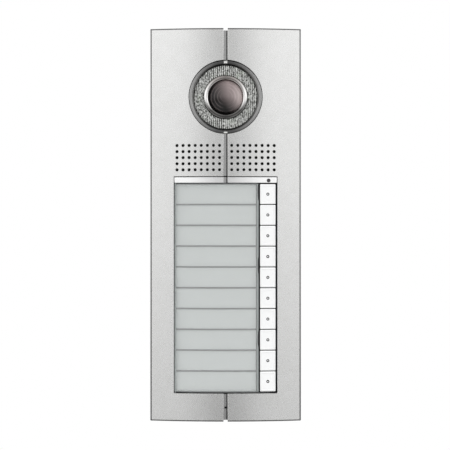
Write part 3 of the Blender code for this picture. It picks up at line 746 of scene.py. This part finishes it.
# The cover's metal, with painted shade on its edge chamfer, on its groove floor and slot, and on the walls of
# its opening.
ALUMINIUM = shade_painted_opening(shade_painted_groove(shade_painted_cover_edge(satin_aluminium())))
BEZEL_METAL = bezel_metal()
CHROME = chrome()
STEEL = grained("plated_steel", (0.56, 0.57, 0.58), 0.36, 1.0, scale=260.0, height=0.004,
                stretch=(1.0, 1.0, 12.0))
PRISM = prism_plastic()
DOME = smoked_dome()
SENSOR_PLASTIC = grained("sensor_plastic", (0.06, 0.055, 0.06), 0.15, scale=500.0, vary=0.2, height=0.0)
LENS = grained("lens_glass", (0.015, 0.02, 0.05), 0.05, scale=300.0, vary=0.4, rough_vary=0.02, height=0.0,
               Coat_Weight=1.0, Coat_Roughness=0.02)
# The header bar's plastic, with the same painted shade and shadow in the groove.
GLOSS_GREY = shade_painted_groove(grained("header_plastic", (0.90, 0.90, 0.90), 0.16, 0.7, scale=800.0, vary=0.015,
                               rough_vary=0.02, height=0.001))
WHITE = grained("button_plastic", (0.86, 0.865, 0.865), 0.34, scale=1200.0, vary=0.015, height=0.004)
TRIM_WHITE = grained("trim_plastic", (0.80, 0.80, 0.78), 0.35, scale=900.0, vary=0.03, height=0.005)
CARD = grained("card", (0.515, 0.537, 0.531), 0.65, scale=1400.0, vary=0.02, height=0.006)
CARRIER = grained("carrier_plastic", (0.21, 0.214, 0.214), 0.45, scale=900.0, vary=0.05, height=0.006)
GUIDE = grained("light_guide", (0.80, 0.82, 0.82), 0.28, scale=600.0, vary=0.03, height=0.004)
BLACK = grained("black_plastic", (0.009, 0.009, 0.0095), 0.45, scale=1100.0, vary=0.3, height=0.012)
RING_GREY = grained("button_ring", (0.025, 0.025, 0.025), 0.7, scale=1100.0, vary=0.05, height=0.0)
BOX_GREY = grained("box_plastic", (0.115, 0.117, 0.120), 0.52, scale=750.0, vary=0.16, height=0.03)
RUBBER = grained("black_rubber", (0.022, 0.022, 0.022), 0.78, scale=1300.0, vary=0.3, height=0.03)
FOAM = grained("gasket_foam", (0.035, 0.035, 0.037), 0.9, scale=1500.0, vary=0.5, height=0.08)
# Black silicone; its near-black colour also serves as painted shade in the gaps between the call buttons,
# where the mat shows.
SILICONE = grained("keypad_silicone", (0.045, 0.046, 0.048), 0.6, scale=900.0, vary=0.06, height=0.01)
GREEN = grained("terminal_plastic", (0.04, 0.32, 0.13), 0.42, scale=900.0, vary=0.06, height=0.01)
PAPER = grained("speaker_paper", (0.045, 0.043, 0.042), 0.85, scale=500.0, vary=0.3, height=0.05)
BOARD = circuit_board()
CLEAR = clear_plastic()
MESH_CLOTH = mesh_cloth()
BARREL = ringed("barrel_plastic", (0.12, 0.095, 0.09), 0.4, 0.2, 0.9, 0.08)


# ---- showing pieces ----

def attach(piece, material, node, angle=32):
    """Finish a new piece that rides on a CAD node's body and has its slot."""
    piece.data.materials.clear()
    piece.data.materials.append(material)
    smooth(piece, angle)
    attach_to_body(piece, BODY_OF[node])


def show(piece, material, node, angle=32):
    """Finish a new piece that takes the place of a CAD node."""
    attach(piece, material, node, angle)
    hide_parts(node)


def refined(node, width=0.0):
    """A copy of a CAD node's mesh with its edges rounded, all in triangles."""
    bm = bmesh.new()
    bm.from_mesh(frame["nodes"][node].data)
    bmesh.ops.remove_doubles(bm, verts=bm.verts, dist=WELD)
    bmesh.ops.dissolve_limit(bm, angle_limit=0.01, verts=bm.verts, edges=bm.edges)
    copy = to_object(f"{node}_body", bm)
    if width:
        soften(copy, width)
    bm = bmesh.new()
    bm.from_mesh(copy.data)
    bmesh.ops.triangulate(bm, faces=bm.faces)
    bm.to_mesh(copy.data)
    bm.free()
    return copy


def show_rounded(node, material, width=0.0):
    """Show a CAD node's own shape with its edges rounded."""
    show(refined(node, width), material, node)


def shifted(name, pattern, x=0.0, z=0.0):
    """A copy of a pattern, moved."""
    mesh = pattern.data.copy()
    mesh.transform(Matrix.Translation(world(x, 0.0, z)))
    return placed(name, mesh)


# ---- cover ----

def groove_section():
    """Section of the cutter for the groove down the middle: rounded rims and a slot along its right side."""
    rim = face_depth(GROOVE_HALF)
    return [
        (-2.6, CLEAR_FRONT), (-2.55, rim), (-2.3, rim - 0.06), (-2.08, rim - 0.25), (-1.98, rim - 0.5),
        (-1.8, GROOVE_FLOOR + 0.2), (-1.5, GROOVE_FLOOR), (0.75, GROOVE_FLOOR), (0.85, GROOVE_FLOOR - 0.7),
        (1.85, GROOVE_FLOOR - 0.7), (1.9, rim - 0.5), (1.98, rim - 0.22), (2.2, rim - 0.05), (2.45, rim),
        (2.5, CLEAR_FRONT),
    ]


def grille_places():
    """Front view of the grille's holes, in two blocks of columns beside the groove."""
    columns = [side * GRILLE_PITCH * (n + 1) for side in (-1, 1) for n in range(GRILLE_COLUMNS)]
    return [(x, GRILLE_TOP - GRILLE_PITCH * row) for x in columns for row in range(GRILLE_ROWS)]


def bowed_box(name, half, offset, rear, z, steps):
    """A bowed front with straight sides, between two heights."""
    section = face_arc(-half, half, offset, steps) + [(half, rear), (-half, rear)]
    return extruded(name, [section], z, upright=True)


def make_front_cover():
    """The aluminium shell, rounded along its outer edges and round every hole in its face."""
    cover = bowed_box("front_cover_shell", HALF_WIDTH, 0.0, COVER_REAR, (BOTTOM, TOP), 96)
    soften(cover, 0.8, segments=3)
    inside = (BOTTOM + COVER_END, TOP - COVER_END)
    holes = [round_outline(place, GRILLE_HOLE - 0.03, 24) for place in grille_places()]
    mic_profile = [(0.0, 40.0), (2.6, 40.0), (1.0, GROOVE_FLOOR - 0.3), (1.0, 30.0), (0.0, 30.0)]
    screw_seat = [
        (0.0, BOTTOM + 2.6), (3.1, BOTTOM + 2.6), (3.1, BOTTOM + 0.3), (3.6, BOTTOM - 1), (0.0, BOTTOM - 1),
    ]
    cut(
        cover,
        bowed_box("cut_shell", HALF_WIDTH - COVER_WALL, COVER_WALL, 0.0, inside, 48),
        rim_cutter("cut_opening", [lambda grow: ladder(OPENING_X, OPENING_Z, grow)], 0.3),
        rim_cutter("cut_camera_hole", [round_outline(CAMERA, CAMERA_HOLE, 128)], 0.2),
        extruded("cut_groove", [groove_section()], (BOTTOM - 5, TOP + 5), upright=True),
        rim_cutter("cut_grille", holes, 0.38),
        block("cut_top_notch", (GROOVE_X, (0.0, CLEAR_FRONT), (TOP - TOP_NOTCH, TOP + 5))),
        block("cut_bottom_notch", (GROOVE_X, (0.0, CLEAR_FRONT), (BOTTOM - 5, BOTTOM + BOTTOM_NOTCH))),
        turned("cut_mic", mic_profile, MIC, sides=32),
        rods("cut_screw_hole", 1.9, (BOTTOM - 1, BOTTOM + 6), [(0.0, SCREW_DEPTH)], along="z"),
        turned("cut_counterbore", screw_seat, (0.0, SCREW_DEPTH), sides=48, upright=True),
        rods("cut_lower_pivot", 0.7, (OPENING_Z[0] - 2.3, OPENING_Z[0] + 1.2), [PIVOT], along="z", sides=16),
    )
    hooks = []
    for side in (-1, 1):
        x = sorted((side * 30.0, side * 42.0))
        hooks.append(block("add_hook_arm", (x, (4.5, 6.3), (TOP - 9.0, TOP - 3.0))))
        hooks.append(block("add_hook_toe", (x, (2.8, 5.5), (TOP - 9.0, TOP - 7.6))))
    join(cover, *hooks)
    show(cover, ALUMINIUM, "front_cover")


def make_security_screw():
    centre, head = (0.0, SCREW_DEPTH), BOTTOM
    profile = [
        (0.0, head + 7.2), (1.5, head + 7.2), (1.5, head + 2.3), (2.75, head + 2.3), (2.75, head + 0.8),
        (2.3, head + 0.4), (1.6, head + 0.3), (0.0, head + 0.3),
    ]
    screw = turned("security_screw_body", profile, centre, sides=48, upright=True)
    cut(screw, extruded("cut_socket", [circle(1.2, centre, 6)], (head - 1, head + 1.6), upright=True))
    show(screw, STEEL, "security_screw")


def make_camera_bezel():
    """Dark ring round the camera with a sloping inner face, notched where the groove meets it."""
    profile = [
        (31.8, 32.6), (32.4, 33.2), (33.7, 35.3), (35.8, 35.3), (36.4, 34.7), (36.4, 31.9),
        (39.5, 31.9), (39.5, 30.6), (31.8, 30.6),
    ]
    bezel = turned("camera_bezel_ring", profile, CAMERA, sides=160)
    soften(bezel, 0.22, angle=20)
    cut(bezel, block("cut_notches", (GROOVE_X, (32.4, 37.0), (CAMERA_Z - 45, CAMERA_Z + 45))))
    show(bezel, BEZEL_METAL, "camera_bezel")
    ends = {"upper": (CAMERA_Z + 33.5, CAMERA_Z + 36.2), "lower": (CAMERA_Z - 36.1, CAMERA_Z - 34.4)}
    for name, z in ends.items():
        key = block(f"camera_bezel_{name}_key", ((-1.95, 1.95), (32.0, 34.6), z))
        attach(soften(key, 0.3), TRIM_WHITE, "camera_bezel")


def make_header_bar():
    """Glossy bar over the name cards, and the dark flange that holds it behind the cover."""
    bottom, top = HEADER_Z
    front_x = (OPENING_X[0] + 0.5, OPENING_X[1] - 0.5)
    bar = curved_slab("header_bar_front", front_x, HEADER_Z, 0.1, 2.8, steps=80)
    soften(bar, 0.35, segments=3)
    cut(
        bar,
        extruded("cut_groove", [groove_section()], (bottom - 2, top + 2), upright=True),
        rods("cut_sensor", 1.9, (25.0, CLEAR_FRONT), [SENSOR], sides=48),
        rods("cut_pivot", 0.7, (bottom - 1, bottom + 2.4), [PIVOT], along="z", sides=16),
    )
    show(bar, GLOSS_GREY, "header_bar")
    flange = curved_slab("header_bar_flange", (-55.0, 55.0), (bottom, 51.5), 2.9, 4.4, steps=40)
    cut(flange, rods("cut_sensor", 1.9, (20.0, CLEAR_FRONT), [SENSOR], sides=48))
    attach(flange, BLACK, "header_bar")


def make_sensor_window():
    back, front = span("sensor_window", "depth")
    profile = [
        (0.0, front), (0.8, front - 0.06), (1.3, front - 0.25), (1.6, front - 0.7), (1.6, back), (0.0, back),
    ]
    lens = turned("sensor_window_lens", profile, SENSOR, sides=48)
    show(lens, SENSOR_PLASTIC, "sensor_window", angle=50)


def make_speaker_mesh():
    cloth = curved_slab("speaker_mesh_cloth", (-51.0, 51.0), (52.0, 83.5), 2.8, 3.3, steps=64)
    show(cloth, MESH_CLOTH, "speaker_mesh")


# ---- directory ----

def make_label_window():
    """Clear curved window with a rolled hinge edge, hinge stubs and finger notches."""
    mid_radius = FACE_RADIUS - HINGE_OFFSET
    thickness = WINDOW_BACK - WINDOW_FRONT
    start = math.asin(HINGE_X / mid_radius)
    end = math.asin(WINDOW_RIGHT / mid_radius)
    angles = [start + (end - start) * step / 60 for step in range(61)]

    def along(radius, turns):
        return [(radius * math.sin(a), FACE_CENTRE + radius * math.cos(a)) for a in turns]

    axis = along(mid_radius, [start])[0]
    section = along(mid_radius + thickness / 2, angles) + along(mid_radius - thickness / 2, angles[::-1])
    bends = [start - math.pi * step / 12 for step in range(11, 0, -1)]
    section += [(axis[0] + thickness / 2 * math.sin(a), axis[1] + thickness / 2 * math.cos(a)) for a in bends]
    window = extruded("label_window_pane", [section], WINDOW_Z, upright=True)
    notch_radius = 27.0
    centres = [(WINDOW_RIGHT - 1.2 + notch_radius, place) for place in (32.5, -40.0, -113.0)]
    cut(window, rods("cut_notches", notch_radius, (25.0, CLEAR_FRONT), centres, sides=160))
    soften(window, 0.25)
    bar_hole_end, cover_hole_end = HEADER_Z[0] + 1.5, OPENING_Z[0] - 1.3
    stubs = {"top": (WINDOW_Z[1] - 1, bar_hole_end), "bottom": (cover_hole_end, WINDOW_Z[0] + 1)}
    for end_name, ends in stubs.items():
        join(window, rods(f"add_{end_name}_stub", 0.5, ends, [axis], along="z", sides=24))
    show(window, CLEAR, "label_window")


def make_card_carrier():
    """Grey frame with a pocket for each name card."""
    z = span("card_carrier", "z")
    carrier = curved_slab("card_carrier_frame", span("card_carrier", "x"), z, 2.6, 5.2, steps=60)
    half = ROW_PITCH / 2 - 0.78
    pockets = [
        curved_slab("cut_pocket", (-49.6, 30.3), (row_middle(row) - half, row_middle(row) + half), -2.0, 4.0)
        for row in range(ROWS)
    ]
    cut(carrier, *pockets)
    show(carrier, CARRIER, "card_carrier")


def make_name_cards():
    half = ROW_PITCH / 2 - 0.85
    pattern = curved_slab("name_card_pattern", (-49.45, 30.15), (-half, half), 3.1, 3.5)
    for row in range(ROWS):
        node = f"name_card_{row + 1:02d}"
        show(shifted(f"{node}_paper", pattern, z=row_middle(row)), CARD, node)
    bpy.data.objects.remove(pattern)


def cap_ring(grow, offset, half_height, x):
    """One ring round a button's cap, at an offset from the cover's face."""
    outline = ladder(x, (-half_height, half_height), grow, corner=0.7, steps=12)
    return [world(px, face_depth(px, offset), pz) for px, pz in outline]


def make_call_buttons():
    """Caps with a bevelled frame round a sunken middle, each with a stem, two legs and a dark ring."""
    x = span("call_button_01", "x")
    bottom, top = span("call_button_01", "z")
    half = (top - bottom) / 2
    levels = [
        (0.0, 3.4), (0.0, 0.75), (-0.08, 0.5), (-0.3, 0.3), (-1.15, -0.12), (-1.35, -0.2), (-1.5, -0.18),
        (-1.75, 0.12), (-1.95, 0.2),
    ]
    cap = lofted("call_button_pattern", [[cap_ring(grow, offset, half, x) for grow, offset in levels]])
    legs = [
        ((BUTTON_MIDDLE - 1, BUTTON_MIDDLE + 1), (23.8, 32.5), (side * 7.0 - 0.6, side * 7.0 + 0.6))
        for side in (-1, 1)
    ]
    join(cap, block("add_legs", *legs), rods("add_stem", 2.5, (29.3, 32.5), [(BUTTON_MIDDLE, 0.0)]))
    face = face_depth(BUTTON_MIDDLE, 0.2)
    profile = [
        (0.65, face + 0.12), (1.3, face + 0.14), (1.5, face + 0.05), (1.5, face - 0.5), (0.65, face - 0.5),
    ]
    ring = turned("button_ring_pattern", profile, (BUTTON_MIDDLE, 0.0), sides=40)
    for vertex in ring.data.vertices:
        vertex.co.y -= (face_depth(vertex.co.x / MM, 0.2) - face) * MM
    for row in range(ROWS):
        node = f"call_button_{row + 1:02d}"
        show(shifted(f"{node}_cap", cap, z=row_middle(row)), WHITE, node, angle=40)
        attach(shifted(f"{node}_ring", ring, z=row_middle(row)), RING_GREY, node, angle=40)
    bpy.data.objects.remove(cap)
    bpy.data.objects.remove(ring)


# ---- camera ----

def prism_field(seed, pitch, reach):
    """A function from a place to the relief of upright prisms, each broken into tilted lengths."""
    chance = random.Random(seed)
    columns = {}
    for column in range(-int(reach / pitch) - 2, int(reach / pitch) + 3):
        place, pieces = -reach - 2.0, []
        while place < reach + 2.0:
            length = chance.uniform(0.8, 3.2)
            size, tilt = chance.uniform(0.35, 1.0), chance.uniform(-0.35, 0.35)
            pieces.append((place, length, size, tilt, chance.random()))
            place += length
        columns[column] = pieces

    def relief(x, z):
        column = math.floor(x / pitch)
        across = x / pitch - column
        for place, length, size, tilt, peak in columns[column]:
            if place <= z < place + length:
                crest = 0.25 + 0.5 * peak
                ridge = across / crest if across < crest else (1 - across) / (1 - crest)
                return ridge * size + tilt * (z - place - length / 2) / length
        return 0.0

    return relief


def make_diffuser():
    """Prismatic ring over the lamps."""
    steps = 34
    inner, outer, front = 21.9, 31.4, 31.5
    top = [(inner + (outer - inner) * step / steps, front) for step in range(steps + 1)]
    profile = top + [(outer, 26.0), (29.4, 26.0), (29.4, 29.5), (inner, 29.5)]
    ring = turned("diffuser_ring_prisms", profile, CAMERA, sides=900)
    relief = prism_field(7, PRISM_PITCH, outer)
    for vertex in ring.data.vertices:
        x, z = vertex.co.x / MM, vertex.co.z / MM - CAMERA_Z
        if -vertex.co.y / MM > front - 0.05 and inner + 0.2 < math.hypot(x, z) < outer - 0.2:
            vertex.co.y += (0.85 - 0.75 * max(0.0, min(1.0, relief(x, z)))) * MM
    show(ring, PRISM, "diffuser_ring", angle=12)


def make_lens_ring():
    profile = [
        (17.4, 33.7), (17.7, 34.05), (18.3, 34.35), (19.0, 34.5), (19.8, 34.4), (20.6, 34.12), (21.1, 33.85),
        (21.45, 33.4), (21.6, 32.7), (21.6, 27.9), (17.4, 27.9),
    ]
    show(turned("lens_ring_chrome", profile, CAMERA, sides=160), CHROME, "lens_ring", angle=40)


def make_dome():
    """Smoked dome on a short skirt."""
    rim, wall, radius, steps = 17.1, 1.2, 20.7, 24
    outer_end = math.asin(rim / radius)
    inner_end = math.asin((rim - wall) / (radius - wall))
    outer = [outer_end * step / steps for step in range(steps + 1)]
    inner = [inner_end * step / steps for step in range(steps, -1, -1)]
    profile = [(radius * math.sin(a), GIMBAL_DEPTH + radius * math.cos(a)) for a in outer]
    profile += [(rim, 27.5), (20.5, 27.5), (20.5, 26.0), (rim - wall, 26.0)]
    profile += [((radius - wall) * math.sin(a), GIMBAL_DEPTH + (radius - wall) * math.cos(a)) for a in inner]
    show(turned("dome_window_shell", profile, CAMERA, sides=160), DOME, "dome_window")


def make_camera_housing():
    """Cup behind the dome, with bores for the pan pins."""
    profile = [
        (0.0, 6.0), (20.0, 6.0), (20.0, 23.7), (22.0, 23.7), (22.0, 17.3), (31.0, 17.3), (31.0, 15.3),
        (22.0, 15.3), (22.0, 4.3), (0.0, 4.3),
    ]
    cup = turned("camera_housing_cup", profile, CAMERA)
    bores = (CAMERA_Z - 23.0, CAMERA_Z + 23.0)
    cut(cup, rods("cut_pan_bores", 1.5, bores, [(0.0, GIMBAL_DEPTH)], along="z"))
    show(soften(cup, 0.25), BLACK, "camera_housing")


def make_pan_ring():
    """Ring on two upright pins, with bores for the tilt pins."""
    outlines = [circle(16.0, CAMERA, 96), circle(12.4, CAMERA, 96)]
    ring = extruded("camera_pan_ring_body", outlines, (GIMBAL_DEPTH - 3, GIMBAL_DEPTH + 3))
    soften(ring, 0.35)
    for side in (-1, 1):
        ends = sorted((CAMERA_Z + side * 14.5, CAMERA_Z + side * 21.4))
        join(ring, rods("add_pin", 1.2, ends, [(0.0, GIMBAL_DEPTH)], along="z"))
    cut(ring, rods("cut_tilt_bores", 1.5, (-17.0, 17.0), [(GIMBAL_DEPTH, CAMERA_Z)], along="x"))
    show(ring, BLACK, "camera_pan_ring")


def make_camera_barrel():
    """Barrel on two level pins, and the lens in its front."""
    profile = [
        (0.0, 31.0), (5.8, 31.0), (5.8, 33.0), (7.0, 33.0), (7.0, 30.5), (6.6, 30.3), (6.6, 29.6),
        (7.0, 29.4), (7.0, 26.0), (10.0, 26.0), (10.0, 10.0), (0.0, 10.0),
    ]
    barrel = turned("camera_barrel_body", profile, CAMERA)
    soften(barrel, 0.2)
    for side in (-1, 1):
        ends = sorted((side * 8.5, side * 14.2))
        join(barrel, rods("add_pin", 1.2, ends, [(GIMBAL_DEPTH, CAMERA_Z)], along="x"))
    show(barrel, BARREL, "camera_barrel")
    profile = [
        (0.0, 33.5), (1.4, 33.45), (2.8, 33.25), (4.0, 32.9), (4.9, 32.4), (5.4, 31.95), (5.4, 31.3),
        (0.0, 31.3),
    ]
    show(turned("camera_lens_glass", profile, CAMERA), LENS, "camera_lens", angle=50)


def make_led_board():
    """Ring-shaped board and its lamps."""
    board = extruded("led_board_ring", [circle(36.0, CAMERA, 128), circle(17.6, CAMERA, 96)], (24.0, 25.6))
    show(board, BOARD, "led_board")
    profile = [(0.0, 27.6), (0.7, 27.5), (1.25, 27.1), (1.5, 26.5), (1.6, 26.0), (1.6, 25.5), (0.0, 25.5)]
    pattern = turned("lamp_pattern", profile, sides=32)
    for number, (x, z) in enumerate(circle(25.5, CAMERA, 12)):
        attach(shifted(f"led_board_lamp_{number + 1:02d}", pattern, x, z), GUIDE, "led_board", angle=60)
    bpy.data.objects.remove(pattern)


def make_camera_seal():
    profile = [(31.3, 30.3), (35.0, 30.3), (35.0, 26.0), (31.3, 26.0)]
    seal = turned("camera_seal_ring", profile, CAMERA, 128)
    show(soften(seal, 0.5, segments=3), RUBBER, "camera_seal")


# ---- sound ----

def make_speaker():
    """Magnet, basket and a corrugated paper cone."""
    magnet = turned("speaker_magnet_body", [(0.0, 21.0), (11.0, 21.0), (11.0, 15.5), (0.0, 15.5)], SPEAKER)
    show(soften(magnet, 0.6, segments=3), STEEL, "speaker_magnet")
    profile = [
        (0.0, 23.3), (13.0, 23.3), (17.1, 27.8), (17.1, 30.0), (20.0, 30.0), (20.0, 27.5), (14.0, 21.3),
        (0.0, 21.3),
    ]
    show(soften(turned("speaker_frame_basket", profile, SPEAKER), 0.3), STEEL, "speaker_frame")
    folds = [(14.0 + 0.35 * n, 29.0 - (0.28 if n % 2 else 0.0)) for n in range(9)]
    profile = [(0.0, 26.5), (2.0, 26.4), (3.8, 26.0), (5.0, 25.6)] + folds
    profile += [(16.8, 28.5), (14.0, 28.3), (6.0, 24.2), (0.0, 24.2)]
    show(turned("speaker_cone_paper", profile, SPEAKER), PAPER, "speaker_cone")


def make_microphone():
    """Rubber boot, and the metal capsule in it with its round of felt."""
    top = 32.35
    profile = [(0.0, 27.6), (3.3, 27.6), (3.3, 33.0), (5.0, 33.0), (5.0, 26.0), (0.0, 26.0)]
    show(soften(turned("mic_boot_body", profile, MIC, 48), 0.3), RUBBER, "mic_boot")
    profile = [(0.0, top), (2.75, top), (3.0, top - 0.25), (3.0, 27.9), (0.0, 27.9)]
    show(turned("mic_capsule_can", profile, MIC, 48), STEEL, "mic_capsule")
    attach(rods("mic_capsule_felt", 2.7, (top, top + 0.05), [MIC]), FOAM, "mic_capsule")


# ---- housing ----

def make_back_box():
    """Moulded box: bosses, cable hole, fixing slots, and knock-outs and ribs on the back."""
    box = refined("back_box")
    rings = [((x, z), 9.0) for x in (-32.0, 32.0) for z in (-60.0, 60.0)] + [((0.0, 120.0), 11.0)]
    grooves = [
        extruded("cut_knock_out", [circle(r, place, 64), circle(r - 1.2, place, 64)], (-1.0, 0.7))
        for place, r in rings
    ]
    pads = [
        extruded(
            "cut_fixing_recess",
            [circle(8.0, (x, z), 48), rectangle((x - 4.0, x + 4.0), (z - 6.0, z + 6.0))],
            (-1.0, 0.5),
        )
        for x in (-45.0, 45.0) for z in (-165.0, 165.0)
    ]
    cable = turned("cut_cable_recess", [(14.5, -1.0), (15.5, -1.0), (15.5, 0.6), (14.5, 0.6)], CABLE)
    channels = [((x - 0.7, x + 0.7), (-1.0, 0.6), (-140.0, 140.0)) for x in (-55.0, 55.0)]
    cut(box, *grooves, *pads, cable, block("cut_channels", *channels))
    soften(box, 0.35)
    show(box, BOX_GREY, "back_box")


def make_cable_grommet():
    bore, neck = 6.0, 10.7
    profile = [
        (bore, 4.2), (neck + 2.3, 4.2), (neck + 2.3, 2.8), (neck, 2.8), (neck, 0.3), (bore + 2.2, 0.3),
        (bore + 1.6, 0.9), (bore, 1.2),
    ]
    show(soften(turned("cable_grommet_body", profile, CABLE, 64), 0.25), RUBBER, "cable_grommet")


def make_chassis_screws():
    """The four slotted screws that hold the chassis plate."""
    profile = [
        (0.0, 17.0), (1.4, 16.95), (2.3, 16.75), (2.9, 16.35), (3.0, 15.9), (3.0, 15.3), (1.25, 15.3),
        (1.25, 5.0), (0.0, 5.0),
    ]
    for number in range(1, 5):
        node = f"chassis_screw_{number}"
        x, z = middle(node, "x"), middle(node, "z")
        screw = turned(f"{node}_body", profile, (x, z), 48)
        cut(screw, block("cut_slot", ((x - 3.5, x + 3.5), (16.2, 18.0), (z - 0.4, z + 0.4))))
        show(screw, STEEL, node)


def make_tamper_switch():
    x, z = middle("tamper_switch", "x"), middle("tamper_switch", "z")
    body = block("tamper_switch_body", ((x - 4, x + 4), (15.3, 25.0), (z - 5, z + 5)))
    soften(body, 0.4)
    cut(body, rods("cut_plunger_bore", 1.8, (20.5, 27.0), [(x, z)]))
    show(body, BLACK, "tamper_switch")
    profile = [(0.0, 27.3), (0.8, 27.2), (1.3, 26.9), (1.5, 26.4), (1.5, 22.0), (0.0, 22.0)]
    show(turned("tamper_plunger_tip", profile, (x, z), 32), TRIM_WHITE, "tamper_plunger", angle=50)


def make_trimmers():
    """Two slotted rotors, turned with a screwdriver."""
    profile = [(0.0, 17.8), (3.4, 17.8), (4.0, 17.2), (4.0, 13.4), (2.0, 13.4), (2.0, 9.0), (0.0, 9.0)]
    for node in ("volume_trimmer_speaker", "volume_trimmer_mic"):
        x, z = middle(node, "x"), middle(node, "z")
        rotor = turned(f"{node}_rotor", profile, (x, z), 48)
        cut(rotor, block("cut_slot", ((x - 3, x + 3), (16.9, 19.0), (z - 0.5, z + 0.5))))
        soften(rotor, 0.15)
        show(rotor, TRIM_WHITE, node)


make_front_cover()
make_security_screw()
make_camera_bezel()
make_header_bar()
make_sensor_window()
make_speaker_mesh()
make_label_window()
make_card_carrier()
make_name_cards()
show_rounded("light_guide", GUIDE, 0.3)
make_call_buttons()
show_rounded("keypad_board", BOARD)
show_rounded("keypad_mat", SILICONE, 0.12)
make_diffuser()
make_lens_ring()
make_dome()
make_camera_housing()
make_pan_ring()
make_camera_barrel()
make_led_board()
make_camera_seal()
make_speaker()
make_microphone()
make_back_box()
show_rounded("wall_gasket", FOAM, 0.2)
make_cable_grommet()
show_rounded("chassis_plate", STEEL, 0.2)
make_chassis_screws()
show_rounded("main_board", BOARD)
show_rounded("terminal_block", GREEN, 0.25)
show_rounded("button_tray", BLACK, 0.1)
make_tamper_switch()
make_trimmers()


# ---- camera, floor and light ----

def make_floor():
    floor_bm = bmesh.new()
    bmesh.ops.create_circle(floor_bm, cap_ends=True, segments=96, radius=2.8)
    floor = to_object("floor", floor_bm)
    floor.location = (0.0, 0.0, -0.6)
    floor.visible_glossy = False
    made = grained("floor", (0.90, 0.90, 0.90), 0.8, scale=4.0, vary=0.01, rough_vary=0.05, height=0.0)
    floor.data.materials.append(made)


def make_world():
    """Pale studio with a darker band straight in front of the panel. The camera itself sees plain white."""
    studio = bpy.data.worlds.new("studio")
    bpy.context.scene.world = studio
    studio.use_nodes = True
    x, y, z = place_of(studio, "Generated")
    sideways = calc("ABSOLUTE", calc("ARCTAN2", x, times(y, -1.0)))
    band = spread(sideways, 0.0, 0.32, 0.37, 1.09)
    level = spread(z, -0.17, 0.05, 0.29, 1.08)
    ground = spread(z, -0.45, -0.22, 0.72, 0.0)
    overhead = spread(z, 0.40, 0.85, 1.0, 0.75)
    behind = spread(y, 0.0, 0.6, 1.0, 0.6)
    height = times(calc("MAXIMUM", level, ground), overhead)
    light = studio.node_tree.nodes["Background"]
    feed(light.inputs["Strength"], times(times(band, height), behind))
    white = add_node(studio.node_tree, "Background")
    for background in (light, white):
        feed(background.inputs["Color"], (1.0, 1.0, 1.0))
    mix = add_node(studio.node_tree, "MixShader")
    feed(mix.inputs[0], add_node(studio.node_tree, "LightPath").outputs["Is Camera Ray"])
    feed(mix.inputs[1], light.outputs[0])
    feed(mix.inputs[2], white.outputs[0])
    feed(studio.node_tree.nodes["World Output"].inputs["Surface"], mix.outputs[0])


def make_lamp():
    """A large square lamp above the panel and in front of it, aimed at its middle."""
    data = bpy.data.lights.new("key", "AREA")
    data.size = 3.6
    data.energy = 32.0
    lamp = placed("key", data)
    lamp.location = (0.05, -1.3, 1.9)
    lamp.rotation_euler = (-lamp.location).to_track_quat("-Z", "Y").to_euler()
    lamp.visible_glossy = False


def make_camera_view():
    """The camera stands straight in front of the panel."""
    distance, seen_width, side_depth = 2.0, 0.4482, 0.026
    data = bpy.data.cameras.new("camera")
    data.sensor_width = 36.0
    data.lens = data.sensor_width * distance / seen_width
    data.clip_start = 0.05
    camera = placed("camera", data)
    camera.location = (-0.0006, -(side_depth + distance), -0.00015)
    camera.rotation_euler = (math.pi / 2, 0.0, 0.0)
    bpy.context.scene.camera = camera


make_floor()
make_world()
make_lamp()
make_camera_view()
bpy.context.scene.view_settings.view_transform = "Standard"
